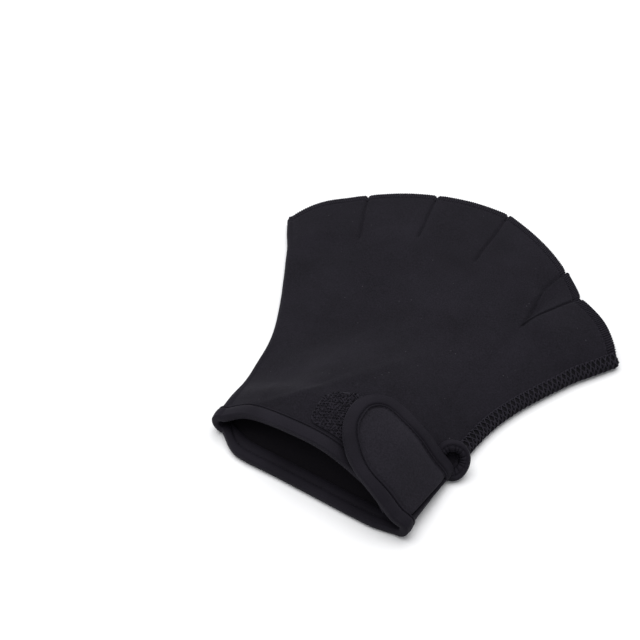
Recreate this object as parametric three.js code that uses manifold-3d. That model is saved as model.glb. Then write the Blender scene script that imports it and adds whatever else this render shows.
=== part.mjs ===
import * as THREE from "three";
import { mergeVertices } from "three/addons/utils/BufferGeometryUtils.js";
import Module from "manifold-3d";

// A webbed neoprene swim glove for the right hand, lying palm down with its cuff open.
// Millimetres. +X points to the thumb, +Y to the fingertips, +Z up.

// Outline
const GLOVE_LENGTH = 216;
const GLOVE_WIDTH = 181;
const MOUTH_SETBACK = 10;
const SCALLOP_DEPTH = 4;

// Walls, seams and the room between the two walls
const WALL = 2.5;
const GAP = 0.3;
const SEAM_INSET = 6;
const FOLD_ROOM = 0.8;
const TAPED_FOLD_ROOM = 0.6;
const WRAP_ROOM = 0.7;
const CHANNEL_ROOM = 5.2;
const FULL_CHANNEL = 16;

// Heights of the back above its side folds
const CUFF_RISE = 18.5;
const HAND_RISE = 6;
const CORNER_LIFT = 0.4;

// Folded tape round the edges
const TAPE = 1;
const TAPE_WIDTH = 5.5;
const TAPE_INNER_WIDTH = 5;

// Strap and touch fastener
const STRAP_LENGTH = 32;
const STRAP_WIDTH = 35;
const STRAP_TURN = 18;
const PATCH = 1;
const PATCH_LENGTH = 36;
const PATCH_WIDTH = 21;
const PATCH_CORNER = 7;

// Slit beside the thumb and its round end
const SLIT_PAST_STRAP = 3;
const SLIT_LENGTH = STRAP_WIDTH + SLIT_PAST_STRAP;
const SLIT_INSET = 12;
const EYE_RADIUS = 4.3;
const EYE_ROLL = 2.6;
const EYE_STAND = 1.5;

// Places along the glove, from the cuff at 0 to the front at 1
const WRIST = 0.22;
const TAPE_LIFT_FROM = 0.06;
const TAPE_LIFT_TO = 0.16;
const CORNER_LIFT_TO = 0.15;
const TAPED_FOLD_FROM = 0.08;
const TAPED_FOLD_TO = 0.2;
const CHANNELS_FROM = 0.69;
const CHANNELS_TO = 0.79;
const SCALLOPS_FROM = 0.74;
const STRAIGHT_FROM = 0.3;
const STRAIGHT_TO = 0.7;
const SLIT_END_SPREAD = 0.03;

// Shapes of the scallops and of the finger channels, as powers of a half sine
const SCALLOP_POWER = 0.8;
const CHANNEL_POWER = 0.6;

// Heights and radii that follow from the walls and tapes
const layerOfTape = TAPE + GAP;
const foldRadius = WALL + FOLD_ROOM / 2;
const tapedFoldRadius = WALL + layerOfTape + TAPED_FOLD_ROOM;
const wrapRadius = WALL + layerOfTape + WRAP_ROOM;
const strapLayer = WALL + 2 * layerOfTape + 2 * GAP;
const seamHeight = 2 * WALL + GAP;

// The outline's columns run from the cuff to the front, on the finger seams and the two sides.
// x is a share of the width and y of the length, from the middle of the glove.
const COLUMNS = [
  "little_side", "ring_seam", "middle_seam", "index_seam", "web_seam", "thumb_seam", "thumb_side",
];
const OUTLINE = [
  { at: 0.00, little_side: [-0.354, -0.364], ring_seam: [-0.275, -0.405], middle_seam: [-0.168, -0.436],
    index_seam: [-0.072, -0.458], web_seam: [0.017, -0.477], thumb_seam: [0.066, -0.486],
    thumb_side: [0.135, -0.493] },
  { at: 0.22, little_side: [-0.343, -0.205], ring_seam: [-0.235, -0.218], middle_seam: [-0.124, -0.227],
    index_seam: [-0.011, -0.241], web_seam: [0.094, -0.255], thumb_seam: [0.138, -0.262],
    thumb_side: [0.210, -0.270] },
  { at: 0.45, little_side: [-0.350, -0.066], ring_seam: [-0.225, -0.042], middle_seam: [-0.105, -0.019],
    index_seam: [0.022, -0.028], web_seam: [0.138, -0.074], thumb_seam: [0.177, -0.097],
    thumb_side: [0.270, -0.156] },
  { at: 0.74, little_side: [-0.434, 0.190], ring_seam: [-0.249, 0.248], middle_seam: [-0.098, 0.300],
    index_seam: [0.078, 0.283], web_seam: [0.235, 0.146], thumb_seam: [0.251, 0.104],
    thumb_side: [0.382, -0.030] },
  { at: 0.88, little_side: [-0.464, 0.257], ring_seam: [-0.270, 0.345], middle_seam: [-0.098, 0.400],
    index_seam: [0.100, 0.379], web_seam: [0.271, 0.218], thumb_seam: [0.303, 0.162],
    thumb_side: [0.437, 0.017] },
  { at: 1.00, little_side: [-0.487, 0.312], ring_seam: [-0.288, 0.431], middle_seam: [-0.098, 0.486],
    index_seam: [0.116, 0.463], web_seam: [0.311, 0.296], thumb_seam: [0.362, 0.214],
    thumb_side: [0.489, 0.060] },
];

// How far each front scallop stands out, as a share of the deepest
const SCALLOPS = [0.4, 0.5, 0.65, 0.65, 0.35, 0.5];

// Inner height of each finger's channel, as a share of the channel's room
const CHANNELS = [1, 1, 1, 1, 0.55, 1];

// How far the upper lip lies behind the lower one, as a share of the setback
const LIP_SETBACK = [0, 0.85, 0.70, 0.62, 0.56, 0.42, 0];

// Height of the back above the side folds, as a share of the cuff's or the hand's rise
const RISES = [
  { at: 0.00, of: CUFF_RISE, ring_seam: 0.37, middle_seam: 0.74, index_seam: 0.84,
    web_seam: 0.58, thumb_seam: 0.34 },
  { at: 0.11, of: CUFF_RISE, ring_seam: 0.46, middle_seam: 1.00, index_seam: 1.02,
    web_seam: 0.78, thumb_seam: 0.50 },
  { at: 0.22, of: CUFF_RISE, ring_seam: 0.37, middle_seam: 0.83, index_seam: 0.92,
    web_seam: 0.62, thumb_seam: 0.34 },
  { at: 0.45, of: HAND_RISE, ring_seam: 0.39, middle_seam: 0.75, index_seam: 1.10,
    web_seam: 1.00, thumb_seam: 0.80 },
  { at: 0.74, of: HAND_RISE, ring_seam: 0.62, middle_seam: 0.68, index_seam: 0.68,
    web_seam: 0.68, thumb_seam: 0.60 },
  { at: 1.00, of: HAND_RISE, ring_seam: 0.56, middle_seam: 0.56, index_seam: 0.56,
    web_seam: 0.56, thumb_seam: 0.56 },
];

// Helpers
const ease = (from, to, x) => {
  const t = Math.min(Math.max((x - from) / (to - from), 0), 1);
  return t * t * (3 - 2 * t);
};
const mix = (a, b, t) => a + (b - a) * t;
const spread = (from, to, steps) => Array.from({ length: steps + 1 }, (_, i) => mix(from, to, i / steps));

// Smooth curve through values at the given places
function through(places, values, x) {
  const last = places.length - 1;
  let i = 0;
  while (i < last - 1 && x > places[i + 1]) i += 1;
  const slope = (k) => {
    const before = Math.max(k - 1, 0);
    const after = Math.min(k + 1, last);
    return (values[after] - values[before]) / (places[after] - places[before]);
  };
  const h = places[i + 1] - places[i];
  const t = (x - places[i]) / h;
  return (1 + 2 * t) * (1 - t) ** 2 * values[i] + t * (1 - t) ** 2 * h * slope(i)
    + t * t * (3 - 2 * t) * values[i + 1] + t * t * (t - 1) * h * slope(i + 1);
}

const outlineStations = OUTLINE.map((row) => row.at);
const riseStations = RISES.map((row) => row.at);
const columnNumbers = COLUMNS.map((_, k) => k);
const lastColumn = COLUMNS.length - 1;

function columnPoint(k, v) {
  const pick = (axis) => through(outlineStations, OUTLINE.map((row) => row[COLUMNS[k]][axis]), v);
  return new THREE.Vector2(pick(0) * GLOVE_WIDTH, pick(1) * GLOVE_LENGTH);
}

// Unit direction along a column, towards the fingers
function along(k, v) {
  const low = Math.max(v - 0.01, 0);
  const high = Math.min(v + 0.01, 1);
  return columnPoint(k, high).sub(columnPoint(k, low)).normalize();
}

// Unit direction out of the glove at one of its two sides
function outward(k, v) {
  const run = along(k, v);
  return k === 0 ? new THREE.Vector2(-run.y, run.x) : new THREE.Vector2(run.y, -run.x);
}

// Where the slit ends, measured along the thumb's side
const wristRun = columnPoint(lastColumn, 0).distanceTo(columnPoint(lastColumn, WRIST));
const slitEndAt = WRIST * SLIT_LENGTH / wristRun;

// Radii of the folds at the little finger's side and at the thumb's side
const littleRadius = (v) => mix(tapedFoldRadius, foldRadius, ease(TAPED_FOLD_FROM, TAPED_FOLD_TO, v));
const strapShare = (v) => 1 - ease(slitEndAt - SLIT_END_SPREAD, slitEndAt + SLIT_END_SPREAD, v);
const thumbRadius = (v) => mix(foldRadius, wrapRadius, strapShare(v));

// The glove stands on the cuff's tape, and its corner at the little finger turns up a little
const cornerLift = (v) => CORNER_LIFT * (1 - ease(0, CORNER_LIFT_TO, v));
const tapeLift = (v) => layerOfTape * (1 - ease(TAPE_LIFT_FROM, TAPE_LIFT_TO, v));

// A point of the flat outline: u counts the columns, v runs from the cuff to the front
function planPoint(u, v, isBack) {
  const cell = Math.min(Math.floor(u), lastColumn - 1);
  const f = u - cell;
  const points = columnNumbers.map((k) => columnPoint(k, v));
  const straight = points[cell].clone().lerp(points[cell + 1], f);
  const direction = along(cell, v).lerp(along(cell + 1, v), f);
  const bulge = Math.abs(Math.sin(Math.PI * f)) ** SCALLOP_POWER * ease(SCALLOPS_FROM, 1, v);
  const smooth = new THREE.Vector2(
    through(columnNumbers, points.map((p) => p.x), u),
    through(columnNumbers, points.map((p) => p.y), u),
  );
  const point = smooth.lerp(straight, ease(STRAIGHT_FROM, STRAIGHT_TO, v));
  point.addScaledVector(direction, SCALLOP_DEPTH * SCALLOPS[cell] * bulge);
  point.addScaledVector(outward(0, v), -littleRadius(v) * Math.max(1 - u, 0));
  point.addScaledVector(outward(lastColumn, v), -thumbRadius(v) * Math.max(u - lastColumn + 1, 0));
  if (isBack) {
    const setback = MOUTH_SETBACK * through(columnNumbers, LIP_SETBACK, u) * (1 - ease(0, WRIST, v));
    point.addScaledVector(direction, setback);
  }
  return point;
}

// Height of the back's outer face
function backHeight(u, v) {
  const seams = COLUMNS.slice(1, -1);
  const rise = (row) => through(columnNumbers, [0, ...seams.map((name) => row[name] * row.of), 0], u);
  const littleHeight = 2 * littleRadius(v) + cornerLift(v);
  const thumbHeight = 2 * thumbRadius(v) - strapLayer * strapShare(v);
  const loose = mix(littleHeight, thumbHeight, u / lastColumn) + through(riseStations, RISES.map(rise), v);
  const f = u - Math.floor(u);
  const atSide = Math.max(1 - Math.min(u, lastColumn - u), 0);
  const foot = mix(seamHeight, 2 * foldRadius, atSide);
  const cell = Math.min(Math.floor(u), lastColumn - 1);
  const breadth = planPoint(cell, v, false).distanceTo(planPoint(cell + 1, v, false));
  const crown = (CHANNEL_ROOM - GAP) * CHANNELS[cell] * Math.min(breadth / FULL_CHANNEL, 1);
  const channel = foot + crown * Math.abs(Math.sin(Math.PI * f)) ** CHANNEL_POWER;
  return mix(loose, channel, ease(CHANNELS_FROM, CHANNELS_TO, v));
}

// Height of the palm's outer face: it lies on the floor and turns up at the little finger's corner
const palmHeight = (u, v) => cornerLift(v) * (1 - ease(0, 1, u));

// Outer face of the glove round one section. w runs: underside strip -1 to 0,
// little finger's fold 0 to 1, back 1 to 7, thumb's fold 7 to 8, palm 8 to 14.
const BACK_FROM = 1;
const BACK_TO = BACK_FROM + lastColumn;
const PALM_FROM = BACK_TO + 1;
const PALM_TO = PALM_FROM + lastColumn;

function facePoint(w, v, isPalm) {
  const point = untapedPoint(w, v, isPalm);
  point.z += tapeLift(v);
  return point;
}

function untapedPoint(w, v, isPalm) {
  if (w < BACK_FROM) {
    const radius = littleRadius(v);
    const away = outward(0, v);
    const edge = columnPoint(0, v);
    const angle = (Math.max(w, 0) - 0.5) * Math.PI;
    const inset = w < 0 ? radius - w * (SEAM_INSET - radius) : radius * (1 - Math.cos(angle));
    const height = cornerLift(v) + radius * (1 + Math.sin(angle));
    return new THREE.Vector3(edge.x - away.x * inset, edge.y - away.y * inset, height);
  }
  if (w <= BACK_TO) {
    const u = w - BACK_FROM;
    const point = planPoint(u, v, true);
    const layer = isPalm ? strapLayer * strapShare(v) * steepness(w, v) : 0;
    return new THREE.Vector3(point.x, point.y, backHeight(u, v) + layer);
  }
  if (w < PALM_FROM) {
    const radius = thumbRadius(v);
    const away = outward(lastColumn, v);
    const edge = columnPoint(lastColumn, v);
    const angle = (BACK_TO + 0.5 - w) * Math.PI;
    const inset = radius * (1 - Math.cos(angle));
    const height = radius * (1 + Math.sin(angle));
    return new THREE.Vector3(edge.x - away.x * inset, edge.y - away.y * inset, height);
  }
  const u = PALM_TO - w;
  const point = planPoint(u, v, false);
  return new THREE.Vector3(point.x, point.y, palmHeight(u, v));
}

// Outward normal of that face
function faceNormal(w, v, isPalm, limits) {
  const step = 0.02;
  const low = Math.max(w - step, limits[0]);
  const high = Math.min(w + step, limits[1]);
  const round = facePoint(high, v, isPalm).sub(facePoint(low, v, isPalm));
  const back = Math.max(v - step / 2, 0);
  const ahead = Math.min(v + step / 2, 1);
  const forward = facePoint(w, ahead, isPalm).sub(facePoint(w, back, isPalm));
  return round.cross(forward).normalize();
}

// How much taller a layer stands on a slope of the back than on the level
const STEEPEST = 0.7;
const LEVEL_FROM = BACK_TO - 0.8;
function steepness(w, v) {
  const slope = 1 / Math.max(faceNormal(w, v, false, [BACK_FROM, BACK_TO]).z, STEEPEST);
  return mix(slope, 1, ease(LEVEL_FROM, BACK_TO, w));
}

// A point a given depth below the outer face of the back or of the palm
const backSkin = (w, v, depth) => facePoint(w, v, false)
  .addScaledVector(faceNormal(w, v, false, [-1, BACK_TO]), -depth);
function palmSkin(w, v, depth) {
  const point = facePoint(w, v, true);
  if (w > BACK_TO) return point.addScaledVector(faceNormal(w, v, true, [BACK_TO, PALM_TO]), -depth);
  point.z -= depth * steepness(w, v);
  return point;
}

// Where the walls end across the glove, at the two flat seams and along the slit
function thumbEdge(v, inset) {
  const strip = Math.max(inset - thumbRadius(v), GAP);
  const cell = planPoint(lastColumn, v, true).distanceTo(planPoint(lastColumn - 1, v, true));
  return BACK_TO - strip / cell;
}
const backEdge = (v) => thumbEdge(v, mix(SEAM_INSET + GAP, SLIT_INSET, strapShare(v)));
function littleEdge(v) {
  const strip = SEAM_INSET + 2 * GAP - littleRadius(v);
  const cell = planPoint(0, v, false).distanceTo(planPoint(1, v, false));
  return PALM_TO - strip / cell;
}

// A closed wall between two grids of points of the same size
function wall(name, outer, inner, material) {
  const rows = outer.length;
  const columns = outer[0].length;
  const positions = [...outer.flat(), ...inner.flat()].flatMap((p) => [p.x, p.y, p.z]);
  const at = (side, i, j) => side * rows * columns + i * columns + j;
  const faces = [];
  const quad = (a, b, c, d) => faces.push(a, b, c, a, c, d);
  for (let i = 0; i < rows - 1; i += 1) {
    for (let j = 0; j < columns - 1; j += 1) {
      quad(at(0, i, j), at(0, i, j + 1), at(0, i + 1, j + 1), at(0, i + 1, j));
      quad(at(1, i, j), at(1, i + 1, j), at(1, i + 1, j + 1), at(1, i, j + 1));
    }
    quad(at(0, i, 0), at(0, i + 1, 0), at(1, i + 1, 0), at(1, i, 0));
    quad(at(0, i, columns - 1), at(1, i, columns - 1), at(1, i + 1, columns - 1), at(0, i + 1, columns - 1));
  }
  for (let j = 0; j < columns - 1; j += 1) {
    quad(at(0, 0, j), at(1, 0, j), at(1, 0, j + 1), at(0, 0, j + 1));
    quad(at(0, rows - 1, j), at(0, rows - 1, j + 1), at(1, rows - 1, j + 1), at(1, rows - 1, j));
  }
  const geometry = new THREE.BufferGeometry();
  geometry.setAttribute("position", new THREE.Float32BufferAttribute(positions, 3));
  geometry.setIndex(faces);
  return named(name, facingOut(geometry), material);
}

// The same mesh with its faces turned to point out
function facingOut(geometry) {
  const position = geometry.getAttribute("position");
  const index = geometry.getIndex();
  const corner = [0, 1, 2].map(() => new THREE.Vector3());
  let volume = 0;
  for (let i = 0; i < index.count; i += 3) {
    corner.forEach((p, k) => p.fromBufferAttribute(position, index.getX(i + k)));
    volume += corner[0].dot(corner[1].cross(corner[2]));
  }
  if (volume < 0) {
    for (let i = 0; i < index.count; i += 3) {
      const second = index.getX(i + 1);
      index.setX(i + 1, index.getX(i + 2));
      index.setX(i + 2, second);
    }
  }
  return geometry;
}

function named(name, geometry, material) {
  geometry.computeVertexNormals();
  const mesh = new THREE.Mesh(geometry, material);
  mesh.name = name;
  return mesh;
}

// Boolean joins and cuts
const MERGE_WITHIN = 1e-3;
const wasm = await Module();
wasm.setup();

function toSolid(geometry) {
  const bare = geometry.clone();
  bare.deleteAttribute("normal");
  bare.deleteAttribute("uv");
  const merged = mergeVertices(bare, MERGE_WITHIN);
  const vertProperties = new Float32Array(merged.getAttribute("position").array);
  const triVerts = new Uint32Array(merged.getIndex().array);
  return new wasm.Manifold(new wasm.Mesh({ numProp: 3, vertProperties, triVerts }));
}

function fromSolid(solid) {
  const mesh = solid.getMesh();
  const geometry = new THREE.BufferGeometry();
  geometry.setAttribute("position", new THREE.BufferAttribute(new Float32Array(mesh.vertProperties), 3));
  geometry.setIndex(new THREE.BufferAttribute(new Uint32Array(mesh.triVerts), 1));
  return geometry;
}

// Materials
const neoprene = new THREE.MeshStandardMaterial({ color: 0x26242b, roughness: 0.85, metalness: 0 });
const tape = new THREE.MeshStandardMaterial({ color: 0x2b2930, roughness: 0.75, metalness: 0 });
const loops = new THREE.MeshStandardMaterial({ color: 0x1f1d24, roughness: 0.95, metalness: 0 });
const hooks = new THREE.MeshStandardMaterial({ color: 0x232128, roughness: 0.6, metalness: 0 });

// The slit's round end, seen as a funnel from above the cuff
const EYE_SIDES = 10;
const EYE_STEPS = 22;
const eyeAxis = new THREE.Vector3(0.25, -0.68, 0.69).normalize();
const eyeInset = EYE_RADIUS - EYE_STAND;
const eyeSide = columnPoint(lastColumn, slitEndAt).addScaledVector(outward(lastColumn, slitEndAt), -eyeInset);
const eyeCentre = new THREE.Vector3(eyeSide.x, eyeSide.y, EYE_RADIUS + EYE_ROLL + 2 * GAP);

function eyeRing(grownBy) {
  const ring = new THREE.TorusGeometry(EYE_RADIUS, EYE_ROLL + grownBy, EYE_SIDES, EYE_STEPS);
  ring.applyQuaternion(new THREE.Quaternion().setFromUnitVectors(new THREE.Vector3(0, 0, 1), eyeAxis));
  return toSolid(ring.translate(eyeCentre.x, eyeCentre.y, eyeCentre.z));
}
function eyeRoom() {
  const ball = new THREE.SphereGeometry(EYE_RADIUS + EYE_ROLL + GAP, EYE_STEPS, EYE_SIDES);
  return toSolid(ball.translate(eyeCentre.x, eyeCentre.y, eyeCentre.z));
}
const cutFrom = (mesh, tool) => named(
  mesh.name, fromSolid(toSolid(mesh.geometry).subtract(tool)), mesh.material);

// Rows from the cuff to the front, closer where the form turns
const ROWS = [...spread(0, WRIST, 8), 0.29, 0.37, 0.45, 0.55, 0.64, 0.7, 0.74, 0.79, 0.86, 0.93, 1];

// Steps across each finger's channel, round a fold and across each cell of the flat palm
const CHANNEL_STEPS = [0, 0.12, 0.3, 0.5, 0.7, 0.88];
const FOLD_STEPS = 6;
const PALM_STEPS = 3;
const foldSteps = (from) => spread(from, from + 1, FOLD_STEPS).slice(0, -1);

function buildBackPanel() {
  const inner = columnNumbers.slice(0, -2).flatMap((k) => CHANNEL_STEPS.map((f) => BACK_FROM + k + f));
  const layer = (depth) => ROWS.map((v) => {
    const end = backEdge(v);
    const outermost = CHANNEL_STEPS.map((f) => mix(BACK_TO - 1, end, f));
    const stops = [-1, ...foldSteps(0), ...inner, ...outermost, end];
    return stops.map((w) => backSkin(w, v, depth));
  });
  return cutFrom(wall("back_panel", layer(0), layer(WALL), neoprene), eyeRoom());
}

function buildPalmPanel() {
  const layer = (depth) => ROWS.map((v) => {
    const start = thumbEdge(v, SEAM_INSET);
    const end = littleEdge(v);
    const cells = spread(PALM_FROM, PALM_TO, PALM_STEPS * lastColumn).slice(0, -1);
    return [start, ...foldSteps(BACK_TO), ...cells, end].map((w) => palmSkin(w, v, depth));
  });
  return cutFrom(wall("palm_panel", layer(0), layer(WALL), neoprene), eyeRoom());
}

// Tape folded over an edge: both of its faces, from the end of the outer leg round the edge
// to the end of the inner leg. skin(inset, depth) is a point of the wall that it binds.
const LEG_STEPS = 2;
const BEND_STEPS = 6;
function tapeFaces(skin, outward3) {
  const outer = [];
  const inner = [];
  for (const s of spread(TAPE_WIDTH, GAP, LEG_STEPS)) {
    outer.push(skin(s, -GAP - TAPE));
    inner.push(skin(s, -GAP));
  }
  const half = WALL / 2;
  for (const angle of spread(Math.PI / 2, -Math.PI / 2, BEND_STEPS).slice(1, -1)) {
    const bend = (clear, rise) => skin(0, half - rise * Math.sin(angle))
      .addScaledVector(outward3, clear * Math.cos(angle));
    outer.push(bend(GAP + TAPE, half + GAP + TAPE));
    inner.push(bend(GAP, half + GAP));
  }
  for (const s of spread(GAP, TAPE_INNER_WIDTH, LEG_STEPS)) {
    outer.push(skin(s, WALL + GAP + TAPE));
    inner.push(skin(s, WALL + GAP));
  }
  return [outer, inner];
}

// The cuff's tape starts at the slit on the back, turns round the little finger's corner
// and ends on the palm's wrapped part, under the strap's root
const NEAR = 0.01;
const CUFF_TURN_END = 0.08;
const UPPER_STEPS = 18;
const LOWER_STEPS = 16;
const TURN_STEPS = 6;
function buildCuffBinding() {
  const outer = [];
  const inner = [];
  const station = (w, skin, face) => {
    const forward = face(w, NEAR).sub(face(w, 0)).divideScalar(NEAR);
    const speed = forward.length();
    const [a, b] = tapeFaces((s, depth) => skin(w, s / speed, depth), forward.normalize().negate());
    outer.push(a);
    inner.push(b);
  };
  const upper = spread(backEdge(0), BACK_FROM, UPPER_STEPS);
  const corner = spread(BACK_FROM, 0, TURN_STEPS).slice(1);
  upper.concat(corner).forEach((w) => station(w, backSkin, (x, v) => facePoint(x, v, false)));
  const lower = spread(littleEdge(0) - NEAR, PALM_FROM, LOWER_STEPS);
  const turn = spread(PALM_FROM, BACK_TO + CUFF_TURN_END, TURN_STEPS).slice(1);
  lower.concat(turn).forEach((w) => station(w, palmSkin, (x, v) => facePoint(x, v, true)));
  return wall("cuff_binding", outer, inner, tape);
}

// Finds the place on the back that lies over a plan point, in a few rounds of Newton's method
const FIRST_COLUMN = 4.5;
const FIRST_ROW = 0.1;
const ROUNDS = 12;
function backPlace(point) {
  let u = FIRST_COLUMN;
  let v = FIRST_ROW;
  const step = 1e-3;
  for (let round = 0; round < ROUNDS; round += 1) {
    const here = planPoint(u, v, true);
    const du = planPoint(u + step, v, true).sub(here).divideScalar(step);
    const dv = planPoint(u, v + step, true).sub(here).divideScalar(step);
    const miss = point.clone().sub(here);
    const area = du.cross(dv);
    u = Math.min(Math.max(u + miss.cross(dv) / area, 0), lastColumn - step);
    v = Math.min(Math.max(v + du.cross(miss) / area, 0), 1 - step);
  }
  return [BACK_FROM + u, v];
}
function overBack(point, height) {
  const place = backPlace(point);
  const lifted = facePoint(...place, false);
  lifted.z += height * steepness(...place);
  return lifted;
}

// The strap lies over the back of the cuff, turned a little from the cuff's own line
const radians = THREE.MathUtils.degToRad;
const strapRun = new THREE.Vector2(-Math.cos(radians(STRAP_TURN)), Math.sin(radians(STRAP_TURN)));
const strapCross = new THREE.Vector2(-strapRun.y, strapRun.x).negate();
const rootSpan = WRIST * STRAP_WIDTH / wristRun;
const wrapEnd = (v) => planPoint(thumbEdge(v, SEAM_INSET) - BACK_FROM, v, true);
const strapRoot = wrapEnd(0).addScaledVector(strapCross, STRAP_WIDTH / 2);

const ROOT_GAP = 0.4;

// A strap point: run from the root, cross from the near edge (-1) to the far edge (1).
// At the root the strap follows the end of the palm's wrapped part.
function strapPlan(run, cross) {
  const straight = (r) => strapRoot.clone().addScaledVector(strapRun, r)
    .addScaledVector(strapCross, cross * STRAP_WIDTH / 2);
  const root = wrapEnd(Math.max(cross + 1, 0) / 2 * rootSpan).addScaledVector(strapRun, ROOT_GAP);
  const hold = Math.max(1 - run / STRAP_LENGTH, 0) ** 2;
  return straight(run).addScaledVector(root.sub(straight(0)), hold);
}

// Half width of a strip with a half-round tip, as a share of its full half width
const tipShare = (run, length, width) => {
  const past = Math.max(run - (length - width / 2), 0) / (width / 2);
  return Math.sqrt(Math.max(1 - past * past, 0));
};

const TONGUE_STEPS = 10;
const STRAIGHT_STEPS = 6;
const TIP_STEPS = 7;
const TIP_FROM = 10;
const TIP_TO = 88;
function tongue(name, inset, from, low, thick, material) {
  const length = STRAP_LENGTH - inset;
  const width = STRAP_WIDTH - 2 * inset;
  const straight = length - width / 2;
  const rounded = spread(TIP_FROM, TIP_TO, TIP_STEPS).map((a) => straight + width / 2 * Math.sin(radians(a)));
  const runs = [...spread(from, straight, STRAIGHT_STEPS), ...rounded];
  const layer = (height) => runs.map((run) => spread(-1, 1, TONGUE_STEPS).map((cross) => {
    const share = tipShare(run, length, width) * width / STRAP_WIDTH;
    return overBack(strapPlan(run, cross * share), height);
  }));
  return wall(name, layer(low + thick), layer(low), material);
}

const underStrap = strapLayer - WALL;
const HOOK_FROM = 6;
const hookLayer = underStrap - 1.5 * GAP - PATCH;
const buildStrap = () => cutFrom(tongue("strap", GAP / 2, 0, underStrap, WALL, neoprene), eyeRing(GAP));
const buildHookPatch = () => tongue(
  "hook_patch", TAPE_INNER_WIDTH + GAP, HOOK_FROM, hookLayer, PATCH, hooks);

const BINDING_FROM = 1;
const BINDING_TURNS = 14;
function buildStrapBinding() {
  const half = STRAP_WIDTH / 2;
  const straight = STRAP_LENGTH - half;
  const edge = [
    ...spread(BINDING_FROM, straight, STRAIGHT_STEPS).map((run) => [run, 1, 0, 1]),
    ...spread(0, 180, BINDING_TURNS).slice(1, -1).map((a) => {
      const angle = radians(a);
      return [straight + half * Math.sin(angle), Math.cos(angle), Math.sin(angle), Math.cos(angle)];
    }),
    ...spread(straight, BINDING_FROM, STRAIGHT_STEPS).map((run) => [run, -1, 0, -1]),
  ];
  const outer = [];
  const inner = [];
  for (const [run, cross, alongRun, alongCross] of edge) {
    const away = strapRun.clone().multiplyScalar(alongRun).addScaledVector(strapCross, alongCross);
    const skin = (s, depth) => overBack(strapPlan(run, cross).addScaledVector(away, -s), strapLayer - depth);
    const out3 = skin(0, 0).sub(skin(1, 0)).normalize();
    const [a, b] = tapeFaces(skin, out3);
    outer.push(a);
    inner.push(b);
  }
  return cutFrom(wall("strap_binding", outer, inner, tape), eyeRing(GAP));
}

// The rough patch lies along the upper lip's tape, from the slit to past the strap's tip
const PATCH_OFF_SLIT = 0.15;
const LIP_END = 0.5;
const LIP_STEP = 0.05;
const CORNER_STEPS = 4;
const PATCH_STEPS = 8;
function buildLoopPatch() {
  const start = backEdge(0) - BACK_FROM - PATCH_OFF_SLIT;
  const lip = [{ u: start, length: 0 }];
  for (let u = start; u > LIP_END; u -= LIP_STEP) {
    const step = planPoint(u, 0, true).distanceTo(planPoint(u - LIP_STEP, 0, true));
    lip.push({ u: u - LIP_STEP, length: lip[lip.length - 1].length + step });
  }
  const lipPlace = (length) => lip.find((place) => place.length >= length).u;
  const rounded = spread(90, TIP_FROM, CORNER_STEPS).map((a) => PATCH_CORNER * (1 - Math.sin(radians(a))));
  const runs = [...rounded, ...spread(PATCH_CORNER, PATCH_LENGTH, PATCH_STEPS)];
  const middle = TAPE_WIDTH + GAP + PATCH_WIDTH / 2;
  const layer = (height) => runs.map((run) => spread(-1, 1, PATCH_STEPS).map((across) => {
    const bite = Math.max(PATCH_CORNER - run, 0);
    const half = PATCH_WIDTH / 2 - PATCH_CORNER + Math.sqrt(PATCH_CORNER ** 2 - bite ** 2);
    const u = lipPlace(PATCH_LENGTH - run);
    const perRow = planPoint(u, 0.1, true).distanceTo(planPoint(u, 0, true)) / 0.1;
    return backSkin(BACK_FROM + u, (middle + across * half) / perRow, -height);
  }));
  return wall("loop_patch", layer(GAP + PATCH), layer(GAP), loops);
}

// The tape that goes round the slit's end
const buildSlitBinding = () => named("slit_binding", fromSolid(eyeRing(0)), tape);

const glove = new THREE.Group();
glove.add(
  buildBackPanel(),
  buildPalmPanel(),
  buildCuffBinding(),
  buildStrap(),
  buildStrapBinding(),
  buildLoopPatch(),
  buildHookPatch(),
  buildSlitBinding(),
);

// The origin is under the middle of the glove, on the floor
glove.updateMatrixWorld(true);
const bounds = new THREE.Box3().setFromObject(glove, true);
glove.position.set(-(bounds.min.x + bounds.max.x) / 2, -(bounds.min.y + bounds.max.y) / 2, -bounds.min.z);

export default glove;
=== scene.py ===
"""A webbed neoprene swim glove for the right hand, lying palm down with its cuff open."""
import math

import bpy
import numpy as np
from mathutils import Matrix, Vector, noise


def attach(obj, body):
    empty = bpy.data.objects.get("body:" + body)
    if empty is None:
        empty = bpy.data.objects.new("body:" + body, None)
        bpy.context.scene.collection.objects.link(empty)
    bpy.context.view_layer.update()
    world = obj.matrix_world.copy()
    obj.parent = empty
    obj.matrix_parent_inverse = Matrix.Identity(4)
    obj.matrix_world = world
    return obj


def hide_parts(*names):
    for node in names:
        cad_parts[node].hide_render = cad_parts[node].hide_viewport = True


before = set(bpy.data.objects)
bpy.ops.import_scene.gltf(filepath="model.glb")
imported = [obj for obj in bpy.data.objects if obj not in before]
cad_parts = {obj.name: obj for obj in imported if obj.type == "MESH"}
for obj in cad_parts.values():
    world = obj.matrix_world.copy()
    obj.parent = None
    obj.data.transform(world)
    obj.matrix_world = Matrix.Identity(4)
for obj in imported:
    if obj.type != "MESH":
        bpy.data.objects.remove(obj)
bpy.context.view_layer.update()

# Sizes in millimetres, as in the solids
GLOVE_LENGTH = 216
GLOVE_WIDTH = 181
MOUTH_SETBACK = 10
SCALLOP_DEPTH = 4
WALL = 2.5
GAP = 0.3
SEAM_INSET = 6
FOLD_ROOM = 0.8
TAPED_FOLD_ROOM = 0.6
WRAP_ROOM = 0.7
CHANNEL_ROOM = 5.2
FULL_CHANNEL = 16
CUFF_RISE = 18.5
HAND_RISE = 6
CORNER_LIFT = 0.4
TAPE = 1
TAPE_WIDTH = 5.5
TAPE_INNER_WIDTH = 5
STRAP_LENGTH = 32
STRAP_WIDTH = 35
STRAP_TURN = 18
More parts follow.
